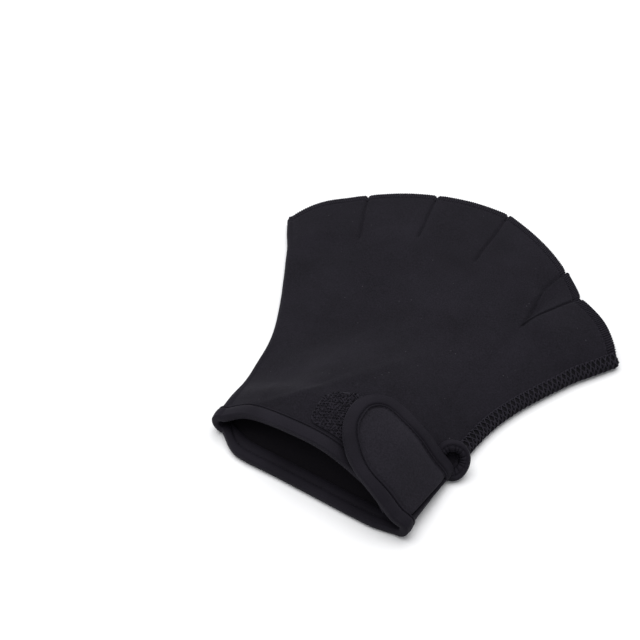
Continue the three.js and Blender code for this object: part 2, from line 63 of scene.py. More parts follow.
SLIT_LENGTH = STRAP_WIDTH + 3
SLIT_INSET = 12
EYE_RADIUS = 4.3
EYE_ROLL = 2.6
RIM_RADIUS = 5.7
RIM_OUT = 1.25
RIM_IN = 2.8
RIM_HEIGHT = 2.1
EYE_STRETCH = 1.17
EYE_DROP = 1.2
EYE_STAND = 1.5
EYE_AXIS = (0.25, -0.68, 0.69)

# Places along the glove, from the cuff at 0 to the front at 1
WRIST = 0.22
TAPE_LIFT_FROM = 0.06
TAPE_LIFT_TO = 0.16
CORNER_LIFT_TO = 0.15
TAPED_FOLD_FROM = 0.08
TAPED_FOLD_TO = 0.2
CHANNELS_FROM = 0.69
CHANNELS_TO = 0.79
SCALLOPS_FROM = 0.74
STRAIGHT_FROM = 0.3
STRAIGHT_TO = 0.7
SLIT_END_SPREAD = 0.03
SCALLOP_POWER = 0.8
CHANNEL_POWER = 0.38
SIDE_POWER = 0.8

layer_of_tape = TAPE + GAP
fold_radius = WALL + FOLD_ROOM / 2
taped_fold_radius = WALL + layer_of_tape + TAPED_FOLD_ROOM
wrap_radius = WALL + layer_of_tape + WRAP_ROOM
strap_layer = WALL + 2 * layer_of_tape + 2 * GAP
seam_height = 2 * WALL + GAP

# Where the middle of the solids' box lies in the plan, and what turns millimetres into metres
PLAN_MIDDLE = np.array([0.181, -0.949, 0.0])
MM = 0.001

# The sewn line between the index finger and the thumb bends off its column
WEB_SEAM = 4
WEB_BEND = 0.75
BEND_RANGE = (0.73, 0.87)

# The outline's columns run from the cuff to the front, on the finger seams and the two sides.
# Each is x as a share of the width and y as a share of the length, from the middle of the glove.
OUTLINE = {
    "at": [0.00, 0.22, 0.45, 0.74, 0.88, 1.00],
    "little_side": [(-0.354, -0.364), (-0.343, -0.205), (-0.350, -0.066), (-0.434, 0.190),
                    (-0.464, 0.257), (-0.487, 0.312)],
    "ring_seam": [(-0.275, -0.405), (-0.235, -0.218), (-0.225, -0.042), (-0.249, 0.248),
                  (-0.270, 0.345), (-0.288, 0.431)],
    "middle_seam": [(-0.168, -0.436), (-0.124, -0.227), (-0.105, -0.019), (-0.098, 0.300),
                    (-0.098, 0.400), (-0.098, 0.486)],
    "index_seam": [(-0.072, -0.458), (-0.011, -0.241), (0.022, -0.028), (0.078, 0.283),
                   (0.100, 0.379), (0.116, 0.463)],
    "web_seam": [(0.017, -0.477), (0.094, -0.255), (0.138, -0.074), (0.235, 0.146),
                 (0.271, 0.218), (0.311, 0.296)],
    "thumb_seam": [(0.066, -0.486), (0.138, -0.262), (0.177, -0.097), (0.251, 0.104),
                   (0.303, 0.162), (0.362, 0.214)],
    "thumb_side": [(0.135, -0.493), (0.210, -0.270), (0.270, -0.156), (0.382, -0.030),
                   (0.437, 0.017), (0.489, 0.060)],
}
COLUMNS = [name for name in OUTLINE if name != "at"]
LAST = len(COLUMNS) - 1
SCALLOPS = np.array([0.4, 0.5, 0.65, 0.65, 0.35, 0.5])
CHANNELS = np.array([1, 1, 1, 1, 0.55, 1])
LIP_SETBACK = np.array([0, 0.85, 0.70, 0.62, 0.56, 0.42, 0])

# Height of the back above the side folds at the five seams, as a share of the cuff's or hand's rise
RISES = {
    "at": [0.00, 0.11, 0.22, 0.45, 0.74, 1.00],
    "of": [CUFF_RISE, CUFF_RISE, CUFF_RISE, HAND_RISE, HAND_RISE, HAND_RISE],
    "ring_seam": [0.37, 0.46, 0.37, 0.39, 0.62, 0.56],
    "middle_seam": [0.74, 1.00, 0.83, 0.75, 0.68, 0.56],
    "index_seam": [0.84, 1.02, 0.92, 1.10, 0.68, 0.56],
    "web_seam": [0.58, 0.78, 0.62, 1.00, 0.68, 0.56],
    "thumb_seam": [0.34, 0.50, 0.34, 0.80, 0.60, 0.56],
}

# Numbering round one section: the strip underneath, the little finger's fold, the back,
# the thumb's fold and the palm
BACK_FROM = 1
BACK_TO = BACK_FROM + LAST
PALM_FROM = BACK_TO + 1
PALM_TO = PALM_FROM + LAST

outline_at = np.array(OUTLINE["at"])
outline_points = np.array([OUTLINE[name] for name in COLUMNS]).transpose(1, 0, 2)
outline_points = outline_points * [GLOVE_WIDTH, GLOVE_LENGTH]
rise_at = np.array(RISES["at"])
rise_heights = np.array([RISES[name] for name in COLUMNS[1:-1]]) * RISES["of"]
rise_heights = np.pad(rise_heights, ((1, 1), (0, 0))).T


# Helpers on arrays
def ease(low, high, x):
    t = np.clip((x - low) / (high - low), 0, 1)
    return t * t * (3 - 2 * t)


def mix(a, b, t):
    return a + (b - a) * t


def unit(vectors):
    return vectors / np.maximum(np.linalg.norm(vectors, axis=-1, keepdims=True), 1e-9)


def hump(form, x):
    """A smooth hump of that height, at that place and of that half width."""
    height, at, half = form
    return height * np.exp(-((x - at) / half) ** 2)


def hermite(values, before, after, i, places, x):
    """Smooth curve through values[..., i] at the places, with slopes from the neighbours."""
    extra = (1,) * (values[0].ndim - x.ndim)
    span = (places[i + 1] - places[i]).reshape(x.shape + extra)
    t = ((x - places[i]) / (places[i + 1] - places[i])).reshape(x.shape + extra)
    low, high = values
    return ((1 + 2 * t) * (1 - t) ** 2 * low + t * (1 - t) ** 2 * span * before
            + t * t * (3 - 2 * t) * high + t * t * (t - 1) * span * after)


def through(places, values, x):
    """values[n] at places[n], read at every x."""
    places = np.asarray(places, float)
    values = np.asarray(values, float)
    n = len(places)
    lower = np.maximum(np.arange(n) - 1, 0)
    upper = np.minimum(np.arange(n) + 1, n - 1)
    reach = (places[upper] - places[lower]).reshape((n,) + (1,) * (values.ndim - 1))
    slopes = (values[upper] - values[lower]) / reach
    i = np.clip(np.searchsorted(places, x, side="left") - 1, 0, n - 2)
    return hermite((values[i], values[i + 1]), slopes[i], slopes[i + 1], i, places, x)


def pick_column(table, k):
    return np.take_along_axis(table, k[..., None, None], axis=-2)[..., 0, :]


def across(values, u):
    """values[..., k, :] at the columns k, read at every u."""
    k = np.arange(LAST + 1)
    lower = np.maximum(k - 1, 0)
    upper = np.minimum(k + 1, LAST)
    slopes = (values[..., upper, :] - values[..., lower, :]) / (upper - lower)[:, None]
    i = np.clip(np.ceil(u).astype(int) - 1, 0, LAST - 1)
    ends = (pick_column(values, i), pick_column(values, i + 1))
    slopes = (pick_column(slopes, i), pick_column(slopes, i + 1))
    return hermite(ends, *slopes, i, k.astype(float), u)


# The glove's form, on arrays of places
def columns_at(v):
    return through(outline_at, outline_points, v)


def along(v):
    step = 0.01
    return unit(columns_at(np.minimum(v + step, 1)) - columns_at(np.maximum(v - step, 0)))


def away_from(run):
    """The two directions out of the glove at its sides, from the runs of its columns."""
    little = np.stack([-run[..., 0, 1], run[..., 0, 0]], -1)
    thumb = np.stack([run[..., LAST, 1], -run[..., LAST, 0]], -1)
    return little, thumb


def outward(k, v):
    return away_from(along(v))[0 if k == 0 else 1]


def scalar(x):
    return np.asarray(x, float)


wrist_ends = columns_at(np.array([0.0, WRIST]))[:, LAST]
wrist_run = float(np.linalg.norm(wrist_ends[1] - wrist_ends[0]))
slit_end_at = WRIST * SLIT_LENGTH / wrist_run


def strap_share(v):
    return 1 - ease(slit_end_at - SLIT_END_SPREAD, slit_end_at + SLIT_END_SPREAD, v)


def little_radius(v):
    return mix(taped_fold_radius, fold_radius, ease(TAPED_FOLD_FROM, TAPED_FOLD_TO, v))


def thumb_radius(v):
    return mix(fold_radius, wrap_radius, strap_share(v))


def corner_lift(v):
    return CORNER_LIFT * (1 - ease(0, CORNER_LIFT_TO, v))


def tape_lift(v):
    return layer_of_tape * (1 - ease(TAPE_LIFT_FROM, TAPE_LIFT_TO, v))


def plan_point(u, v, is_back):
    u, v = np.broadcast_arrays(scalar(u), scalar(v))
    cell = cell_of(u)
    f = (u - cell)[..., None]
    points = columns_at(v)
    runs = along(v)
    straight = mix(pick_column(points, cell), pick_column(points, cell + 1), f)
    direction = mix(pick_column(runs, cell), pick_column(runs, cell + 1), f)
    bulge = np.abs(np.sin(np.pi * f[..., 0])) ** SCALLOP_POWER * ease(SCALLOPS_FROM, 1, v)
    point = mix(across(points, u), straight, ease(STRAIGHT_FROM, STRAIGHT_TO, v)[..., None])
    point = point + direction * (SCALLOP_DEPTH * SCALLOPS[cell] * bulge)[..., None]
    little = little_radius(v) * np.maximum(1 - u, 0)
    thumb = thumb_radius(v) * np.maximum(u - LAST + 1, 0)
    sides = away_from(runs)
    point = point - sides[0] * little[..., None] - sides[1] * thumb[..., None]
    if is_back:
        table = np.broadcast_to(LIP_SETBACK[:, None], u.shape + (LAST + 1, 1))
        setback = MOUTH_SETBACK * across(table, u)[..., 0] * (1 - ease(0, WRIST, v))
        point = point + direction * setback[..., None]
    return point


def cell_breadth(cell, v, is_back):
    """Millimetres between a column and the next one."""
    return np.linalg.norm(plan_point(cell + 1, v, is_back) - plan_point(cell, v, is_back), axis=-1)


def seam_column(seam, v):
    """Where a sewn line runs: on its own column, but for the web seam, which bends off it."""
    return np.where(seam == WEB_SEAM, WEB_SEAM + WEB_BEND * (1 - ease(*BEND_RANGE, v)), seam)


def follow_seams(u, v):
    """Column numbers in which the bent web seam is straight."""
    seam = seam_column(WEB_SEAM, v)
    before = (WEB_SEAM - 1) + (u - WEB_SEAM + 1) / (seam - WEB_SEAM + 1)
    after = WEB_SEAM + (u - seam) / (WEB_SEAM + 1 - seam)
    inside = (u > WEB_SEAM - 1) & (u < WEB_SEAM + 1)
    return np.where(inside, np.where(u < seam, before, after), u)


def cell_of(column):
    return np.clip(np.floor(column).astype(int), 0, LAST - 1)


def crown(cell, v):
    """Height of a finger's channel over its seams."""
    share = np.minimum(cell_breadth(cell, v, False) / FULL_CHANNEL, 1)
    return (CHANNEL_ROOM - GAP) * CHANNELS[cell] * share


def arch(bent):
    """Height of the channels over their seams as a share of their crowns."""
    power = np.where(np.minimum(bent, LAST - bent) < 0.5, SIDE_POWER, CHANNEL_POWER)
    return np.abs(np.sin(np.pi * (bent - np.floor(bent)))) ** power


def back_height(u, v):
    u, v = np.broadcast_arrays(scalar(u), scalar(v))
    little = 2 * little_radius(v) + corner_lift(v)
    thumb = 2 * thumb_radius(v) - strap_layer * strap_share(v)
    rises = through(rise_at, rise_heights, v)[..., None]
    loose = mix(little, thumb, u / LAST) + across(rises, u)[..., 0]
    at_side = np.maximum(1 - np.minimum(u, LAST - u), 0)
    foot = mix(seam_height, 2 * fold_radius, at_side)
    bent = follow_seams(u, v)
    channel = foot + crown(cell_of(bent), v) * arch(bent)
    return mix(loose, channel, ease(CHANNELS_FROM, CHANNELS_TO, v))


def palm_height(u, v):
    return corner_lift(v) * (1 - ease(0, 1, u))


def raised(plan, height):
    return np.concatenate([plan, height[..., None]], -1)


def little_fold(w, v):
    radius = little_radius(v)
    angle = (np.maximum(w, 0) - 0.5) * np.pi
    inset = np.where(w < 0, radius - w * (SEAM_INSET - radius), radius * (1 - np.cos(angle)))
    return raised(columns_at(v)[..., 0, :] - outward(0, v) * inset[..., None],
                  corner_lift(v) + radius * (1 + np.sin(angle)))


def back_face(w, v):
    u = w - BACK_FROM
    return raised(plan_point(u, v, True), back_height(u, v))


def thumb_fold(w, v):
    radius = thumb_radius(v)
    angle = (BACK_TO + 0.5 - w) * np.pi
    inset = radius * (1 - np.cos(angle))
    return raised(columns_at(v)[..., LAST, :] - outward(LAST, v) * inset[..., None],
                  radius * (1 + np.sin(angle)))


def palm_face(w, v):
    u = PALM_TO - w
    return raised(plan_point(u, v, False), palm_height(u, v))


def face_point(w, v, is_palm):
    """A point of the glove's outer face. The palm's own lies over the back beside the strap."""
    w, v = np.broadcast_arrays(scalar(w), scalar(v))
    point = np.empty(w.shape + (3,))
    limits = (-np.inf, BACK_FROM, np.nextafter(BACK_TO, 99), PALM_FROM, np.inf)
    for part, low, high in zip((little_fold, back_face, thumb_fold, palm_face), limits, limits[1:]):
        here = (w >= low) & (w < high)
        if here.any():
            point[here] = part(w[here], v[here])
    if is_palm:
        wrapped = (w >= BACK_FROM) & (w <= BACK_TO) & (strap_share(v) > 0)
        high = strap_layer * strap_share(v[wrapped]) * steepness(w[wrapped], v[wrapped])
        point[wrapped, 2] += high
    point[..., 2] += tape_lift(v)
    return point


def face_normal(w, v, is_palm, limits):
    w, v = np.broadcast_arrays(scalar(w), scalar(v))
    step = 0.02
    low = face_point(np.maximum(w - step, limits[0]), v, is_palm)
    high = face_point(np.minimum(w + step, limits[1]), v, is_palm)
    back = face_point(w, np.maximum(v - step / 2, 0), is_palm)
    ahead = face_point(w, np.minimum(v + step / 2, 1), is_palm)
    return unit(np.cross(high - low, ahead - back))


def steepness(w, v):
    normal = face_normal(np.clip(w, BACK_FROM, BACK_TO), v, False, [BACK_FROM, BACK_TO])
    return mix(1 / np.maximum(normal[..., 2], 0.7), 1, ease(BACK_TO - 0.8, BACK_TO, w))


def back_skin(w, v, depth):
    normal = face_normal(w, v, False, [-1, PALM_TO])
    return face_point(w, v, False) - normal * scalar(depth)[..., None]


def palm_skin(w, v, depth):
    w, v, depth = np.broadcast_arrays(scalar(w), scalar(v), scalar(depth))
    point = face_point(w, v, True)
    round_side = w > BACK_TO
    away = np.zeros(point.shape)
    if round_side.any():
        away[round_side] = face_normal(w[round_side], v[round_side], True, [BACK_TO, PALM_TO])
    if (~round_side).any():
        away[~round_side, 2] = steepness(w[~round_side], v[~round_side])
    return point - away * depth[..., None]


def thumb_edge(v, inset):
    v = scalar(v)
    return BACK_TO - np.maximum(inset - thumb_radius(v), GAP) / cell_breadth(LAST - 1, v, True)


def back_edge(v):
    return thumb_edge(v, mix(SEAM_INSET + GAP, SLIT_INSET, strap_share(scalar(v))))


def little_edge(v):
    v = scalar(v)
    return PALM_TO - (SEAM_INSET + 2 * GAP - little_radius(v)) / cell_breadth(0, v, False)


# Meshes
def to_row(points):
    return (np.asarray(points) - PLAN_MIDDLE) * MM


CORNER = np.array([-53.0, -89.0])
CORNER_PULL = np.array([-1.1, -1.9])
CORNER_REACH = 17


def pull_corner(points):
    """Draws the little finger's corner of the cuff out a little."""
    points = np.array(points, float)
    away = np.linalg.norm(points[:, :2] - CORNER, axis=-1)
    points[:, :2] += CORNER_PULL * np.exp(-(away / CORNER_REACH) ** 2)[:, None]
    return points


def add_to_scene(name, data):
    thing = bpy.data.objects.new(name, data)
    bpy.context.scene.collection.objects.link(thing)
    return thing


def new_piece(name, shape, material, nodes=()):
    """A mesh object from points, in millimetres of the plan, and faces."""
    points, faces = shape
    mesh = bpy.data.meshes.new(name)
    mesh.from_pydata(to_row(pull_corner(points)).tolist(), [], faces)
    mesh.validate()
    mesh.shade_smooth()
    piece = add_to_scene(name, mesh)
    mesh.materials.append(material)
    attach(piece, "root")
    if nodes:
        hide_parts(*nodes)
    return piece


def grid_faces(rows, columns, start=0, closed_rows=False, closed_columns=False):
    i = np.arange(rows if closed_rows else rows - 1)[:, None]
    j = np.arange(columns if closed_columns else columns - 1)[None, :]
    up = (i + 1) % rows
    right = (j + 1) % columns
    quads = [i * columns + j, i * columns + right, up * columns + right, up * columns + j]
    return np.stack(np.broadcast_arrays(*quads), -1).reshape(-1, 4) + start


def wall(outer, inner):
    """Points and faces of a closed wall between two grids of the same size."""
    rows, columns = outer.shape[:2]
    loop = np.concatenate([outer, inner[:, ::-1]], axis=1)
    faces = grid_faces(rows, 2 * columns, closed_columns=True)
    ends = []
    for row in (0, rows - 1):
        near = row * 2 * columns + np.arange(columns)
        far = row * 2 * columns + 2 * columns - 1 - np.arange(columns)
        strip = np.stack([near[:-1], far[:-1], far[1:], near[1:]], -1)
        ends.append(strip if row == 0 else strip[:, ::-1])
    return face_out(loop.reshape(-1, 3), np.concatenate([faces, *ends]))


def face_out(points, faces):
    """A closed mesh with all its faces turned over where its volume comes out negative."""
    a, b, c, d = (points[faces[:, k]] for k in range(4))
    volume = (np.cross(a, b) * c).sum() + (np.cross(a, c) * d).sum()
    return points, (faces if volume > 0 else faces[:, ::-1]).tolist()


def joined(parts):
    """One set of points and faces from several."""
    points = []
    faces = []
    for some_points, some_faces in parts:
        start = sum(len(done) for done in points)
        points.append(some_points)
        faces += [[k + start for k in face] for face in some_faces]
    return np.concatenate(points), faces


def paint_inside_light(piece, columns, material):
    """Gives the inner face of a wall with that many columns a second material, which carries painted light
    and shade.
    """
    mesh = piece.data
    mesh.materials.append(material)
    count = len(mesh.polygons)
    place = np.arange(count) % (2 * columns)
    walls = count - 2 * (columns - 1)
    painted_inside = (place >= columns - 1) & (place < 2 * columns - 1) & (np.arange(count) < walls)
    mesh.polygons.foreach_set("material_index", painted_inside.astype(int))


def lengths_along(points):
    """Lengths from the start of a line of points to each of them."""
    return np.concatenate([[0], np.cumsum(np.linalg.norm(np.diff(points, axis=0), axis=1))])


def evenly(points, spacing):
    """Numbers of places, with shares between them, at an even spacing along a line of points."""
    length = lengths_along(points)
    return np.interp(np.arange(spacing / 2, length[-1], spacing), length, np.arange(len(points)))


def stitch_row(points, normals, pitch=2.2, share=0.72, radius=0.2, sink=0.28):
    """Short round stitches along a line, dipping into the cloth at both ends."""
    length = lengths_along(points)
    middles = np.arange(pitch / 2, length[-1], pitch)
    local = np.linspace(-1, 1, 6)
    places = middles[:, None] + local * pitch * share / 2
    at = lambda table: np.stack([np.interp(places, length, table[:, k]) for k in range(3)], -1)
    return tubes(at(points) - at(normals) * (sink * local ** 2)[None, :, None], radius)


def tubes(paths, radius, sides=5):
    """Points and faces of round threads along paths of the same number of points."""
    paths = np.asarray(paths, float)
    count, steps = paths.shape[:2]
    run = unit(np.gradient(paths, axis=1))
    side = unit(np.cross(run, np.where(np.abs(run[..., 2:]) > 0.9, [1.0, 0, 0], [0, 0, 1.0])))
    up = np.cross(side, run)
    angles = np.linspace(0, 2 * np.pi, sides, endpoint=False)
    radius = np.broadcast_to(scalar(radius), (count, steps))
    ring = (side[:, :, None] * np.cos(angles)[None, None, :, None]
            + up[:, :, None] * np.sin(angles)[None, None, :, None])
    points = paths[:, :, None] + ring * radius[..., None, None]
    one = grid_faces(steps, sides, closed_columns=True)
    starts = np.arange(count) * steps * sides
    faces = (one[None] + starts[:, None, None]).reshape(-1, 4)
    caps = []
    for start in starts:
        first = start + np.arange(sides)
        caps.append(first[::-1].tolist())
        caps.append((first + (steps - 1) * sides).tolist())
    return points.reshape(-1, 3), faces.tolist() + caps


# Materials
class Nodes:
    """A short way to build a material's node tree."""

    def __init__(self, name, rough, specular):
        self.material = bpy.data.materials.new(name)
        self.material.use_nodes = True
        self.tree = self.material.node_tree
        self.shader = self.tree.nodes["Principled BSDF"]
        self.fill(self.shader, {"Roughness": rough, "Specular IOR Level": specular})
        self.coordinates = self.add("TexCoord", {}).outputs["Object"]

    def fill(self, node, values):
        """Gives a node's inputs numbers, colours or the outputs of other nodes."""
        for key, value in values.items():
            if isinstance(value, bpy.types.NodeSocket):
                self.tree.links.new(value, node.inputs[key])
            else:
                node.inputs[key].default_value = (*value, 1) if isinstance(value, tuple) else value

    def add(self, kind, values, **settings):
        node = self.tree.nodes.new("ShaderNode" + kind)
        for key, value in settings.items():
            setattr(node, key, value)
        self.fill(node, values)
        return node

    def noise(self, scale, detail, rough):
        values = {"Scale": scale, "Detail": detail, "Roughness": rough, "Vector": self.coordinates}
        return self.add("TexNoise", values).outputs["Fac"]

    def cells(self, scale):
        return self.add("TexVoronoi", {"Scale": scale, "Vector": self.coordinates}).outputs["Distance"]

    def ramp(self, value, low, high, first=0.0, second=1.0):
        values = {"Value": value, "From Min": low, "From Max": high, "To Min": first, "To Max": second}
        return self.add("MapRange", values).outputs["Result"]

    def math(self, kind, *values):
        return self.add("Math", dict(enumerate(values)), operation=kind).outputs["Value"]

    def blend(self, outputs, weights):
        """The weighted sum of outputs."""
        total = 0.0
        for output, weight in zip(outputs, weights):
            total = self.math("MULTIPLY_ADD", output, weight, total)
        return total

    def colour(self, factor, dark, light):
        values = {"Factor": factor, "A": dark, "B": light}
        return self.add("Mix", values, data_type="RGBA").outputs["Result"]

    def base(self, colour):
        self.fill(self.shader, {"Base Color": colour})

    def bump(self, height, strength, distance):
        node = self.add("Bump", {"Strength": strength, "Distance": distance, "Height": height})
        self.fill(self.shader, {"Normal": node.outputs["Normal"]})


# Kinds of cloth. Each noise is a scale, a detail and a roughness, and cells are only a scale.
# "tone" and "relief" are the weights of these textures in the colour and in the bumps.
KNIT = {"textures": [(1500, 3, 0.75), (38, 3, 0.6), (1500,)], "tone": (0.7, 0.3, 0), "range": (0.36, 0.64),
        "specular": 0.12, "sheen": (0.025, 0.45), "relief": (0.7, 0, 0.6), "bump": (0.35, 0.00025)}
TAPE_KIND = {"textures": [(2200, 2, 0.6), (60, 2, 0.5)], "tone": (0.4, 0.6), "range": (0.35, 0.65),
             "specular": 0.1, "sheen": (0.03, 0.4), "relief": (1, 0.4), "bump": (0.25, 0.0002)}
THREAD = {"textures": [(1800, 2, 0.6)], "tone": (1,), "range": (0.35, 0.65),
          "specular": 0.1, "sheen": (0.05, 0.35), "relief": (1,), "bump": (0.3, 0.0001)}
PILE = {"textures": [(1200, 4, 0.75), (700,)], "tone": (0.6, 0.9), "range": (0.45, 0.95),
        "specular": 0.1, "sheen": (0.04, 0.5), "relief": (1, 1), "bump": (0.5, 0.0003)}
VIOLET = (0.80, 0.78, 0.95)
LINT = (0.055, 0.052, 0.060)


def cloth(name, kind, rough, dark, light, lint=False):
    m = Nodes(name, rough, kind["specular"])
    textures = [m.noise(*each) if len(each) > 1 else m.cells(*each) for each in kind["textures"]]
    colour = m.colour(m.ramp(m.blend(textures, kind["tone"]), *kind["range"]), dark, light)
    if lint:
        specks = m.ramp(m.cells(230), 0.035, 0.06, 1.0, 0.0)
        rare = m.ramp(m.noise(90, 1, 0.5), 0.42, 0.55)
        colour = m.colour(m.math("MULTIPLY", specks, rare), colour, LINT)
    m.base(colour)
    weight, sheen_rough = kind["sheen"]
    m.fill(m.shader, {"Sheen Weight": weight, "Sheen Roughness": sheen_rough, "Sheen Tint": VIOLET})
    m.bump(m.blend(textures, kind["relief"]), *kind["bump"])
    return m.material


# Painted light and shade on the inner faces: paler away from the cuff's mouth, where less light falls on
# it, and darker near the mouth, where the lamps light it
PAINTED_LIGHT_SLANT = 0.3
PAINTED_LIGHT_RANGE = (-0.097, -0.077)


def inside_painted_light_cloth(near, painted_pale_deep):
    m = Nodes("inside_painted_light", 0.9, 0.05)
    place = m.add("SeparateXYZ", {"Vector": m.coordinates}).outputs
    depth = m.math("MULTIPLY_ADD", place["X"], PAINTED_LIGHT_SLANT, place["Y"])
    grain = m.math("MULTIPLY", m.noise(1500, 3, 0.75), 0.3)
    # Painted light and shade: the colour runs from dark near the mouth to pale deep inside, evening out
    # the lamps' light and the shade
    m.base(m.colour(m.math("ADD", m.ramp(depth, *PAINTED_LIGHT_RANGE, -0.15, 0.85), grain), near, painted_pale_deep))
    m.bump(grain, 0.3, 0.0002)
    return m.material


back_cloth = cloth("back_neoprene", KNIT, 0.9, (0.0042, 0.0036, 0.0056), (0.0125, 0.0110, 0.0160), True)
palm_cloth = cloth("palm_neoprene", KNIT, 0.9, (0.0042, 0.0036, 0.0056), (0.0122, 0.0108, 0.0156), True)
# The strap's knit is the back's neoprene painted lighter: painted light for the stronger light on the
# strap
strap_cloth_painted_light = cloth("strap_neoprene_painted_light", KNIT, 0.87, (0.0075, 0.0066, 0.0095), (0.0170, 0.0152, 0.0210))
# Inner faces of the glove, with painted light and shade
inside_painted_light = inside_painted_light_cloth((0.0045, 0.0040, 0.0052), (0.033, 0.030, 0.037))
tape_finish = cloth("binding", TAPE_KIND, 0.75, (0.0066, 0.0056, 0.0088), (0.0118, 0.0102, 0.0152))
thread_finish = cloth("thread", THREAD, 0.7, (0.0096, 0.0084, 0.0124), (0.0215, 0.0190, 0.0270))
seam_thread = cloth("seam_thread", THREAD, 0.7, (0.0046, 0.0040, 0.0060), (0.0105, 0.0092, 0.0136))
# Near-black finish for the sheets under the flat seams: painted shade between the zigzag threads
shade_sheet_finish = cloth("seam_painted_shade", THREAD, 0.7, (0.0012, 0.0010, 0.0018), (0.0034, 0.0029, 0.0048))
loop_finish = cloth("loop_pile", PILE, 0.8, (0.0066, 0.0057, 0.0086), (0.0160, 0.0140, 0.0200))
hook_finish = cloth("hook_pile", PILE, 0.8, (0.0040, 0.0035, 0.0050), (0.0120, 0.0106, 0.0148))


# Small movements of the cloth, in millimetres
def soft_noise(points, size, seed):
    """Smooth noise from -1 to 1 at points in millimetres."""
    flat = points.reshape(-1, 3) / size + seed
    values = [noise.noise(Vector(p)) for p in flat]
    return np.array(values).reshape(points.shape[:-1])


def distance_to_line(plan, line):
    """Distance of plan points to a polyline, and how far along it the nearest place lies."""
    run = np.diff(line, axis=0)
    length = np.linalg.norm(run, axis=1)
    from_starts = plan[..., None, :] - line[:-1]
    t = np.clip((from_starts * run).sum(-1) / length ** 2, 0, 1)
    away = np.linalg.norm(from_starts - t[..., None] * run, axis=-1)
    place = (lengths_along(line)[:-1] + t * length) / length.sum()
    nearest = away.argmin(-1)[..., None]
    return [np.take_along_axis(table, nearest, -1)[..., 0] for table in (away, place)]


# The crease that runs over the back from the little finger's corner of the cuff
CREASE = np.array([(-59.0, -71.5), (-50.5, -73.0), (-42.9, -73.4), (-33.7, -71.9), (-26.2, -67.5),
                   (-19.2, -60.0), (-12.3, -52.0), (-5.5, -42.5), (1.3, -32.9), (8.8, -23.4),
                   (18.1, -10.2), (28.1, -0.6)])
CREASE_HEIGHT = 0.5
CREASE_WIDTH = 1.7
CREASE_SPREAD = 3.5
CREASE_FULL = 0.2
CREASE_FADES = 0.55

# Soft unevenness: heights, sizes of the waves and seeds
BACK_RIPPLES = [(0.32, 26, 3.1), (0.14, 9, 7.7)]
RIPPLE_START = (0.02, 0.1)

# Sewn lines, rounded edges, and the walls' thickness under the cuff's tape
SEAM_STARTS = np.array([0.0, 0.735, 0.735, 0.705, 0.745, 0.69, 0.0])
SEAM_DEPTH = 1.1
SEAM_WIDTH = 0.5
SEAM_DRAW = 0.25
EDGE_ROUND = 1.25
EDGE_WALL = 1.8
BAND = 4.6
BAND_DEPTH = 0.35
SEWN_LINE = (0.35, BAND + 0.5, 0.35)


def column_breadth(u, v, is_back):
    """Millimetres across the glove for a whole column at the place u."""
    step = 0.25
    u = np.clip(u, step, LAST - step)
    span = plan_point(u + step, v, is_back) - plan_point(u - step, v, is_back)
    return np.linalg.norm(span, axis=-1) / (2 * step)


def seam_groove(u, v, is_back):
    """Depth of the sewn lines between the fingers."""
    nearest = np.round(follow_seams(u, v))
    inner = (nearest > 0) & (nearest < LAST)
    column = seam_column(nearest, v)
    away = np.abs(u - column) * column_breadth(column, v, is_back)
    groove = hump((1, 0, SEAM_WIDTH), away) + hump((SEAM_DRAW, 0, 3 * SEAM_WIDTH), away)
    start = SEAM_STARTS[np.clip(nearest.astype(int), 0, LAST)]
    return np.where(inner, SEAM_DEPTH * groove * ease(0, 0.02, v - start), 0)


def front_rows(u, is_back):
    """Places v from the cuff to the front for each u, at shares of the body and then at
    distances from the front edge."""
    speed = front_speed(u, is_back)
    body = BODY_ROWS[:, None] * (1 - EDGE_ROWS[0] / speed)
    return np.concatenate([body, 1 - EDGE_ROWS[1:, None] / speed])


def front_speed(u, is_back):
    """Millimetres towards the front for a whole step of v."""
    step = 0.02
    return np.linalg.norm(plan_point(u, scalar(1.0), is_back)
                          - plan_point(u, scalar(1.0 - step), is_back), axis=-1) / step


def round_depth(distance, half):
    """How far a wall of half thickness half is rounded away near its edge."""
    inside = np.clip(1 - distance / half, 0, 1)
    return half * (1 - np.sqrt(np.maximum(1 - inside ** 2, 0)))


BODY_ROWS = np.concatenate([np.linspace(0, 0.24, 38), np.linspace(0.24, 0.7, 34)[1:],
                            np.linspace(0.7, 1.0, 36)[1:]])
EDGE_ROWS = np.array([8.0, 7.0, 6.0, 5.2, 4.8, 4.4, 4.0, 3.0, 2.0, 1.4, 1.0, 0.7, 0.45, 0.25, 0.1, 0.02])
CELL_STOPS = np.array([0, 0.02, 0.045, 0.075, 0.11, 0.16, 0.22, 0.29, 0.37, 0.46, 0.54, 0.63, 0.71,
                       0.78, 0.84, 0.89, 0.925, 0.955, 0.98])


def front_profile(distance):
    """Depths of the outer and inner face near the sewn front edge."""
    band = BAND_DEPTH * (1 - ease(BAND - 0.5, BAND + 0.3, distance))
    line = hump(SEWN_LINE, distance)
    rounding = round_depth(distance, EDGE_ROUND - BAND_DEPTH / 2)
    outer = band + line + rounding
    inner = WALL - 0.5 * band - rounding
    return outer, np.maximum(inner, outer + 0.02)


def panel_column(w, is_back):
    return np.clip(w - BACK_FROM if is_back else PALM_TO - w, 0, LAST)


def edge_depths(w, v, is_back):
    """Depths of both faces of a panel, which its sewn front edge makes thinner."""
    return front_profile((1 - v) * front_speed(panel_column(w, is_back), is_back))


# Back of the hand, from the flat seam underneath round the little finger's side to the slit
FLAT_HALF = 3.8
FLAT_DEPTH = 0.35
SEAM_OVER = 2.2
SEAM_CLEAR = 0.05
UNDER_FROM = 0.2
UNDER_SHARE = 0.7
SEAM_FILL = 0.95
FAR = 99


def seam_over(v):
    """How far the flat seam lies past the top of the thumb's fold."""
    return mix(SEAM_OVER, thumb_radius(v) - SEAM_INSET, strap_share(v))


